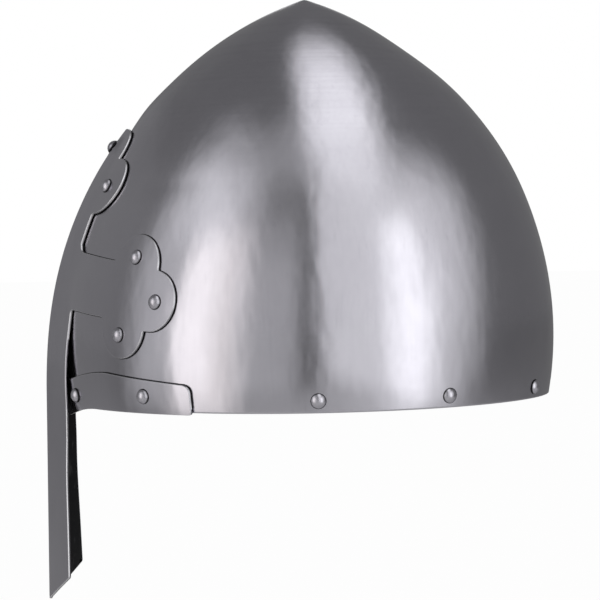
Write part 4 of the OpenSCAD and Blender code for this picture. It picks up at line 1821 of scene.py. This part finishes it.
@dataclass
class Liner:
    """The leather liner: a band inside the rim, and eight tongues that rise to the crown.

    Attributes:
        low: The height of the band's lower edge.
        high: The height of its upper edge.
        joint: The gap between its ends, in degrees.
        tongue_low: The height of the tongues' feet.
        turn: The height at which the tongues turn inwards.
        crown: The height of the dome that they lie on.
        slits: Plan angles of the two slits in each quarter.
        slit_gap: A slit's width in degrees.
        reach: How far a tongue reaches up the dome, in degrees.
        hole_at: How far up the dome its lace hole is, in degrees.
        hole_radius: That hole's radius.
        hole_points: Points round it.
        tongue_points: Points up each side of a tongue.
        taper: A tongue's width at the tip, as a share of its width at the foot.
        tip_start: The share of its length from which the tip is rounded.
        tip_rounding: The share by which the tip's width, squared, shrinks.
        corners: The roundings of the band's corners, a tongue's foot and its tip.
        edge: The radius of the leather's rounded edges.
        clear: How far the tongues stay inside their solids.
        sag: The depth of the tongues' slight waves.
        waves: How wide and how high the waves are.
        calm: How far above the turn the waves have grown, in degrees.
        across: Millimetres of sheet for a degree across.
        along: Millimetres of sheet for a degree upwards.
        band_spacing: Distances of the mesh's points on the band.
        tongue_spacing: The same on a tongue.
        names: The tongues' names, from the front round the left side.
    """

    low: float = 0.8
    high: float = 29.0
    joint: float = 2.0
    tongue_low: float = 15.0
    turn: float = 24.0
    crown: float = 124.0
    slits: Pair = (29.0, 68.6)
    slit_gap: float = 1.6
    reach: float = 81.0
    hole_at: float = 76.0
    hole_radius: float = 2.5
    hole_points: int = 28
    tongue_points: int = 90
    taper: float = 0.82
    tip_start: float = 0.86
    tip_rounding: float = 0.75
    corners: Triple = (2.0, 2.5, 3.0)
    edge: float = 0.7
    clear: float = 0.5
    sag: float = 0.5
    waves: Pair = (11.0, 13.0)
    calm: float = 15.0
    across: float = 1.5
    along: float = 1.8
    band_spacing: Pair = (3.0, 3.0)
    tongue_spacing: Pair = (3.0, 3.6)
    names: tuple[str, ...] = (
        "front",
        "front_left",
        "left",
        "rear_left",
        "rear",
        "rear_right",
        "right",
        "front_right",
    )

    def band_face(self, q: Array) -> Array:
        """Points of the band's face towards the skull."""
        return FORM.skin(q[:, 0] / self.across, q[:, 1], LAYERS.liner)

    def tongue_face(self, middle: float) -> Surface:
        """The outer face of a tongue.

        Below the turn it follows the band. Above it lies on a dome whose half-length is a cos(u)
        and whose height grows with sin(u), and it sags by half a millimetre here and there.

        Args:
            middle: The plan angle of the tongue's middle.

        Returns:
            The face as a function of sheet coordinates.
        """

        def face(q: Array) -> Array:
            """Points of the face.

            Args:
                q: Sheet coordinates.

            Returns:
                The points, one a row.
            """
            t, u = middle + q[:, 0] / self.across, np.maximum(q[:, 1], 0) / self.along
            wave = np.sin(q[:, 1] / self.waves[1] + middle) * np.cos(q[:, 0] / self.waves[0])
            loose = self.sag * wave * ease(u / self.calm) - self.clear
            a = FORM.half_length(self.turn, LAYERS.tongue) + loose
            z = self.turn + (self.crown - self.turn + loose) * np.sin(np.radians(u))
            dome = FORM.oval(t, z, a * np.cos(np.radians(u)), FORM.ratio(LAYERS.tongue))
            foot = FORM.skin(t, self.turn + np.minimum(q[:, 1], 0), LAYERS.tongue - self.clear)
            return np.where(q[:, 1:2] < 0, foot, dome)

        return face

    def tongue_loops(self, half: float, face: Surface) -> list[Array]:
        """A tongue's outline, narrowing to a round tip, and its lace hole.

        Args:
            half: Half its width at the foot, in degrees.
            face: Its outer face.

        Returns:
            Sheet coordinates of its outline, and then of its lace hole.
        """
        u = np.linspace(0, self.reach, self.tongue_points)
        v = u / self.reach
        near_tip = np.maximum(0, (v - self.tip_start) / (1 - self.tip_start))
        rounded = np.sqrt(1 - self.tip_rounding * near_tip**2)
        wide = half * mix(1, self.taper, v) * rounded * self.across
        foot = self.tongue_low - self.turn
        right = np.concatenate([[[wide[0], foot]], np.stack([wide, u * self.along], 1)])
        left = right[::-1] * [-1, 1]
        start, tip = np.array([[0, foot], right[0]]), np.array([right[-1], left[0]])
        end = np.array([left[-1], [0, foot]])
        low_round, tip_round = self.corners[1:]
        rounds = [low_round, tip_round, tip_round, low_round]
        line = joined([start, right, tip, left, end], rounds, TONGUE_STEP)
        hole = np.array([[0.0, self.hole_at * self.along]])
        steps = np.eye(2) * STRETCH_STEP
        stretch = [np.linalg.norm(face(hole + d) - face(hole - d)) / (2 * STRETCH_STEP) for d in steps]
        a = np.linspace(0, -2 * np.pi, self.hole_points, endpoint=False)
        ring = hole + np.stack([np.cos(a), np.sin(a)], 1) / stretch * self.hole_radius
        return [line[:-1], ring]

    def add(self, leather: bpy.types.Material) -> None:
        """Builds and dresses the band and the tongues.

        Args:
            leather: Their material.
        """
        end, low, high = (180 - self.joint / 2) * self.across, self.low, self.high
        corners = np.array([[0, low], [end, low], [end, high], [-end, high], [-end, low], [0, low]])
        sides = [corners[i : i + 2] for i in range(len(corners) - 1)]
        outline = joined(sides, [self.corners[0]] * 4, BAND_STEP)[:-1]
        sheet = CutSheet(self.band_face, LAYERS.liner_wall, self.edge, self.edge)
        band = sheet.build("liner_band_leather", [outline], self.band_spacing)
        put_in_place(band, Slot.LEATHER, leather, "liner_band")
        first, second = self.slits
        cuts = [-first, first, second, 180 - second, 180 - first]
        cuts += [180 + first, 180 + second, 360 - second, 360 - first]
        for name, start, stop in zip(self.names, cuts, cuts[1:]):
            face = self.tongue_face((start + stop) / 2)
            loops = self.tongue_loops((stop - start - self.slit_gap) / 2, face)
            sheet = CutSheet(face, LAYERS.tongue_wall, self.edge, self.edge)
            piece = sheet.build(name + "_tongue_leather", loops, self.tongue_spacing)
            put_in_place(piece, Slot.LEATHER, leather, name + "_tongue")


# ------------------------------------------------------------------ the studio


def way_to(azimuth: float, elevation: float) -> Vector:
    """The unit way to a plan direction and a height.

    Args:
        azimuth: The plan direction, from +X towards the front, in degrees.
        elevation: The height above the level, in degrees.

    Returns:
        (cos a cos e, -sin a cos e, sin e).
    """
    a, e = math.radians(azimuth), math.radians(elevation)
    return Vector((math.cos(a) * math.cos(e), -math.sin(a) * math.cos(e), math.sin(e)))


@dataclass(frozen=True)
class Softbox:
    """A rectangular lamp that faces the helmet from a plan direction and a height.

    Attributes:
        name: The lamp's name.
        azimuth: Its plan direction, from +X towards the front.
        elevation: Its height above the level, in degrees.
        size: Its width and height in metres.
        level: The brightness of its middle, where 1 is white.
        soft: The shares of its width and height over which its front side, rear side, foot and
            top fade out.
        distance: Its distance from the helmet in metres.
        colour: The colour of its light.
        turn: How far it is turned in its own plane, in degrees.
        aim: The height that it faces, in metres.
    """

    name: str
    azimuth: float
    elevation: float
    size: Pair
    level: float
    soft: Quad = (0.25, 0.25, 0.2, 0.2)
    distance: float = 1.6
    colour: Triple = (1.0, 1.0, 1.0)
    turn: float = 0.0
    aim: float = 0.06

    def add(self) -> None:
        """Puts the lamp in the scene, facing the helmet's middle.

        Its power is pi level width height. A point of its face at shares e of the way in from the
        four sides shines with the product of s(e / soft), s being the smooth step.
        """
        lamp = bpy.data.lights.new(self.name, "AREA")
        lamp.shape, lamp.energy = "RECTANGLE", math.pi * self.level * self.size[0] * self.size[1]
        lamp.size, lamp.size_y = self.size
        lamp.color = self.colour
        lamp.use_nodes = True
        bench = NodeBench(lamp.node_tree)
        emitter = [node for node in bench.tree.nodes if node.type == "EMISSION"][0]
        face = bench.out(bench.node("NewGeometry"), "Parametric")
        where = bench.node("SeparateXYZ", Vector=face)
        u, v = bench.out(where, "X"), bench.out(where, "Y")
        ways_in = [(w / soft).clip() for w, soft in zip((u, 1.0 - u, v, 1.0 - v), self.soft)]
        glow = math.prod((e * e * (3.0 - 2.0 * e) for e in ways_in), start=1.0)
        bench.feed(emitter.inputs["Color"], glow)
        piece = bpy.data.objects.new(self.name, lamp)
        bpy.context.scene.collection.objects.link(piece)
        way = way_to(self.azimuth, self.elevation)
        piece.location = Vector((0, 0, self.aim)) + way * self.distance
        turn = Matrix.Rotation(math.radians(self.turn), 3, "Z")
        piece.rotation_euler = (way.to_track_quat("Z", "Y").to_matrix() @ turn).to_euler()


@dataclass
class Studio:
    """A white sweep, soft lamps and the camera at the wearer's left.

    Attributes:
        lamps: The lamps.
        world_level: The brightness of the room for all but the camera.
        white: The colour of the room.
        floor_level: The floor's height in metres.
        floor_size: Half its width.
        floor_colour: Its colour, under the glow.
        floor_roughness: Its roughness.
        floor_glow: The share of its brightness to the camera that is a plain glow.
        azimuth: The camera's plan direction, from +X towards the front.
        elevation: Its height above the level, in degrees.
        roll: How far it's turned about its line of sight.
        distance: Its distance from the target in metres.
        target: The point that it looks at.
        lens: Its focal length in millimetres.
        sensor: Its sensor's width in millimetres.
    """

    lamps: tuple[Softbox, ...] = (
        Softbox("rear_wide", -46, 13, (2.85, 3.0), 0.9, (0.026, 0.45, 0.2, 0.36), turn=-8),
        Softbox("rear_core", -41, 3, (0.9, 1.9), 1.0, (0.5, 0.5, 0.25, 0.25)),
        Softbox("rear_top", -35, 71, (1.35, 2.8), 1.38, (0.42, 0.4, 0.42, 0.5), turn=-19),
        Softbox("middle_top", 8, 52, (1.6, 1.1), 0.3, (0.45, 0.45, 0.45, 0.45)),
        Softbox("middle", 23, 10, (1.1, 2.1), 0.42, (0.15, 0.15, 0.2, 0.5)),
        Softbox("front_wide", 70, 12, (1.7, 2.1), 0.5, (0.3, 0.3, 0.25, 0.25)),
        Softbox("front_core", 50, 3, (1.3, 1.8), 1.2, (0.22, 0.42, 0.2, 0.25), 1.6, (1.0, 0.95, 0.91), -4),
        Softbox("front_upper", 58, 40, (1.8, 1.2), 0.5, (0.4, 0.4, 0.3, 0.5)),
        Softbox("front", 125, 5, (2.0, 2.0), 0.07),
        Softbox("far_strip", 180, 15, (0.5, 1.3), 1.3, (0.4, 0.4, 0.3, 0.3)),
    )
    world_level: float = 0.2
    white: Quad = (1.0, 1.0, 1.0, 1.0)
    floor_level: float = -0.6
    floor_size: float = 30.0
    floor_colour: Quad = (0.85, 0.85, 0.85, 1.0)
    floor_roughness: float = 0.9
    floor_glow: float = 0.98
    azimuth: float = -0.18
    elevation: float = 1.96
    roll: float = -1.18
    distance: float = 0.965
    target: Triple = (0.0, -0.0052, 0.0482)
    lens: float = 115.62
    sensor: float = 36.0

    def add_camera(self) -> None:
        """The camera: it looks at the target from its direction, and is turned by the roll."""
        away = way_to(self.azimuth, self.elevation)
        right = -away.cross((0, 0, 1)).normalized()
        axes = Matrix((right, away.cross(right), away)).transposed()
        turned = (axes @ Matrix.Rotation(math.radians(self.roll), 3, "Z")).to_4x4()
        turned.translation = Vector(self.target) + away * self.distance
        lens = bpy.data.cameras.new("camera")
        lens.lens, lens.sensor_width = self.lens, self.sensor
        camera = bpy.data.objects.new("camera", lens)
        bpy.context.scene.collection.objects.link(camera)
        camera.matrix_world = turned
        bpy.context.scene.camera = camera

    def add_world(self) -> None:
        """An even room that the camera sees as white, and that lights the steel as grey."""
        world = bpy.data.worlds.new("studio")
        bpy.context.scene.world = world
        world.use_nodes = True
        bench = NodeBench(world.node_tree)
        bench.tree.nodes.clear()
        seen = bench.out(bench.node("LightPath"), "Is Camera Ray")
        grey = bench.node("Background", Color=self.white, Strength=self.world_level)
        white = bench.node("Background", Color=self.white, Strength=1.0)
        bench.node("OutputWorld", Surface=bench.either(grey, white, seen))

    def add_floor(self) -> None:
        """A wide white floor that glows to the camera and keeps a faint shadow."""
        size, level = self.floor_size, self.floor_level
        corners = [(-size, -size, level), (size, -size, level), (size, size, level), (-size, size, level)]
        mesh = bpy.data.meshes.new("floor")
        mesh.from_pydata(corners, [], [(0, 1, 2, 3)])
        floor = bpy.data.objects.new("floor", mesh)
        bpy.context.scene.collection.objects.link(floor)
        p = Painter("white_floor")
        seen = p.out(p.node("LightPath"), "Is Camera Ray")
        glow = p.node("Emission", Strength=1.0)
        p.feed(p.output.inputs["Surface"], p.either(p.shader, glow, seen * self.floor_glow))
        floor.data.materials.append(p.finish(Base_Color=self.floor_colour, Roughness=self.floor_roughness))

    def add(self) -> None:
        """Builds the whole studio."""
        bpy.context.scene.view_settings.view_transform = "Standard"
        self.add_camera()
        self.add_world()
        self.add_floor()
        for lamp in self.lamps:
            lamp.add()


def main() -> None:
    """Builds the helmet's pieces in order, then the studio."""
    logging.basicConfig(level=logging.INFO, format="%(name)s %(message)s")
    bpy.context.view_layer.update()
    skull_steel = Steel("skull_satin_steel").make()
    plate_steel = Steel("plate_satin_steel", sheet=True).make()
    # sheet=True lets the rivets' painted shade under their heads show.
    rivet_steel = Steel(
        "rivet_polished_steel", roughness=0.24, uneven=0.0001, sheet=True, wear=0.3
    ).make()
    washer_steel = Steel(
        "washer_blackened_steel", light=(0.17, 0.17, 0.18), dark=(0.1, 0.1, 0.105), roughness=0.42
    ).make()
    leather = Leather("liner_leather").make()
    cross = CrossNasal()
    Skull().add(skull_steel)
    cross.add(plate_steel)
    BrowBand().add(plate_steel)
    Rivets(cross).add(rivet_steel)
    Liner().add(leather)
    for name in ("left_washers", "right_washers"):
        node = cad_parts[name]
        node.data.materials.clear()
        node.data.materials.append(washer_steel)
        LOG.info("%s: shown as the packed solids", name)
    Studio().add()


if __name__ == "__main__":
    main()
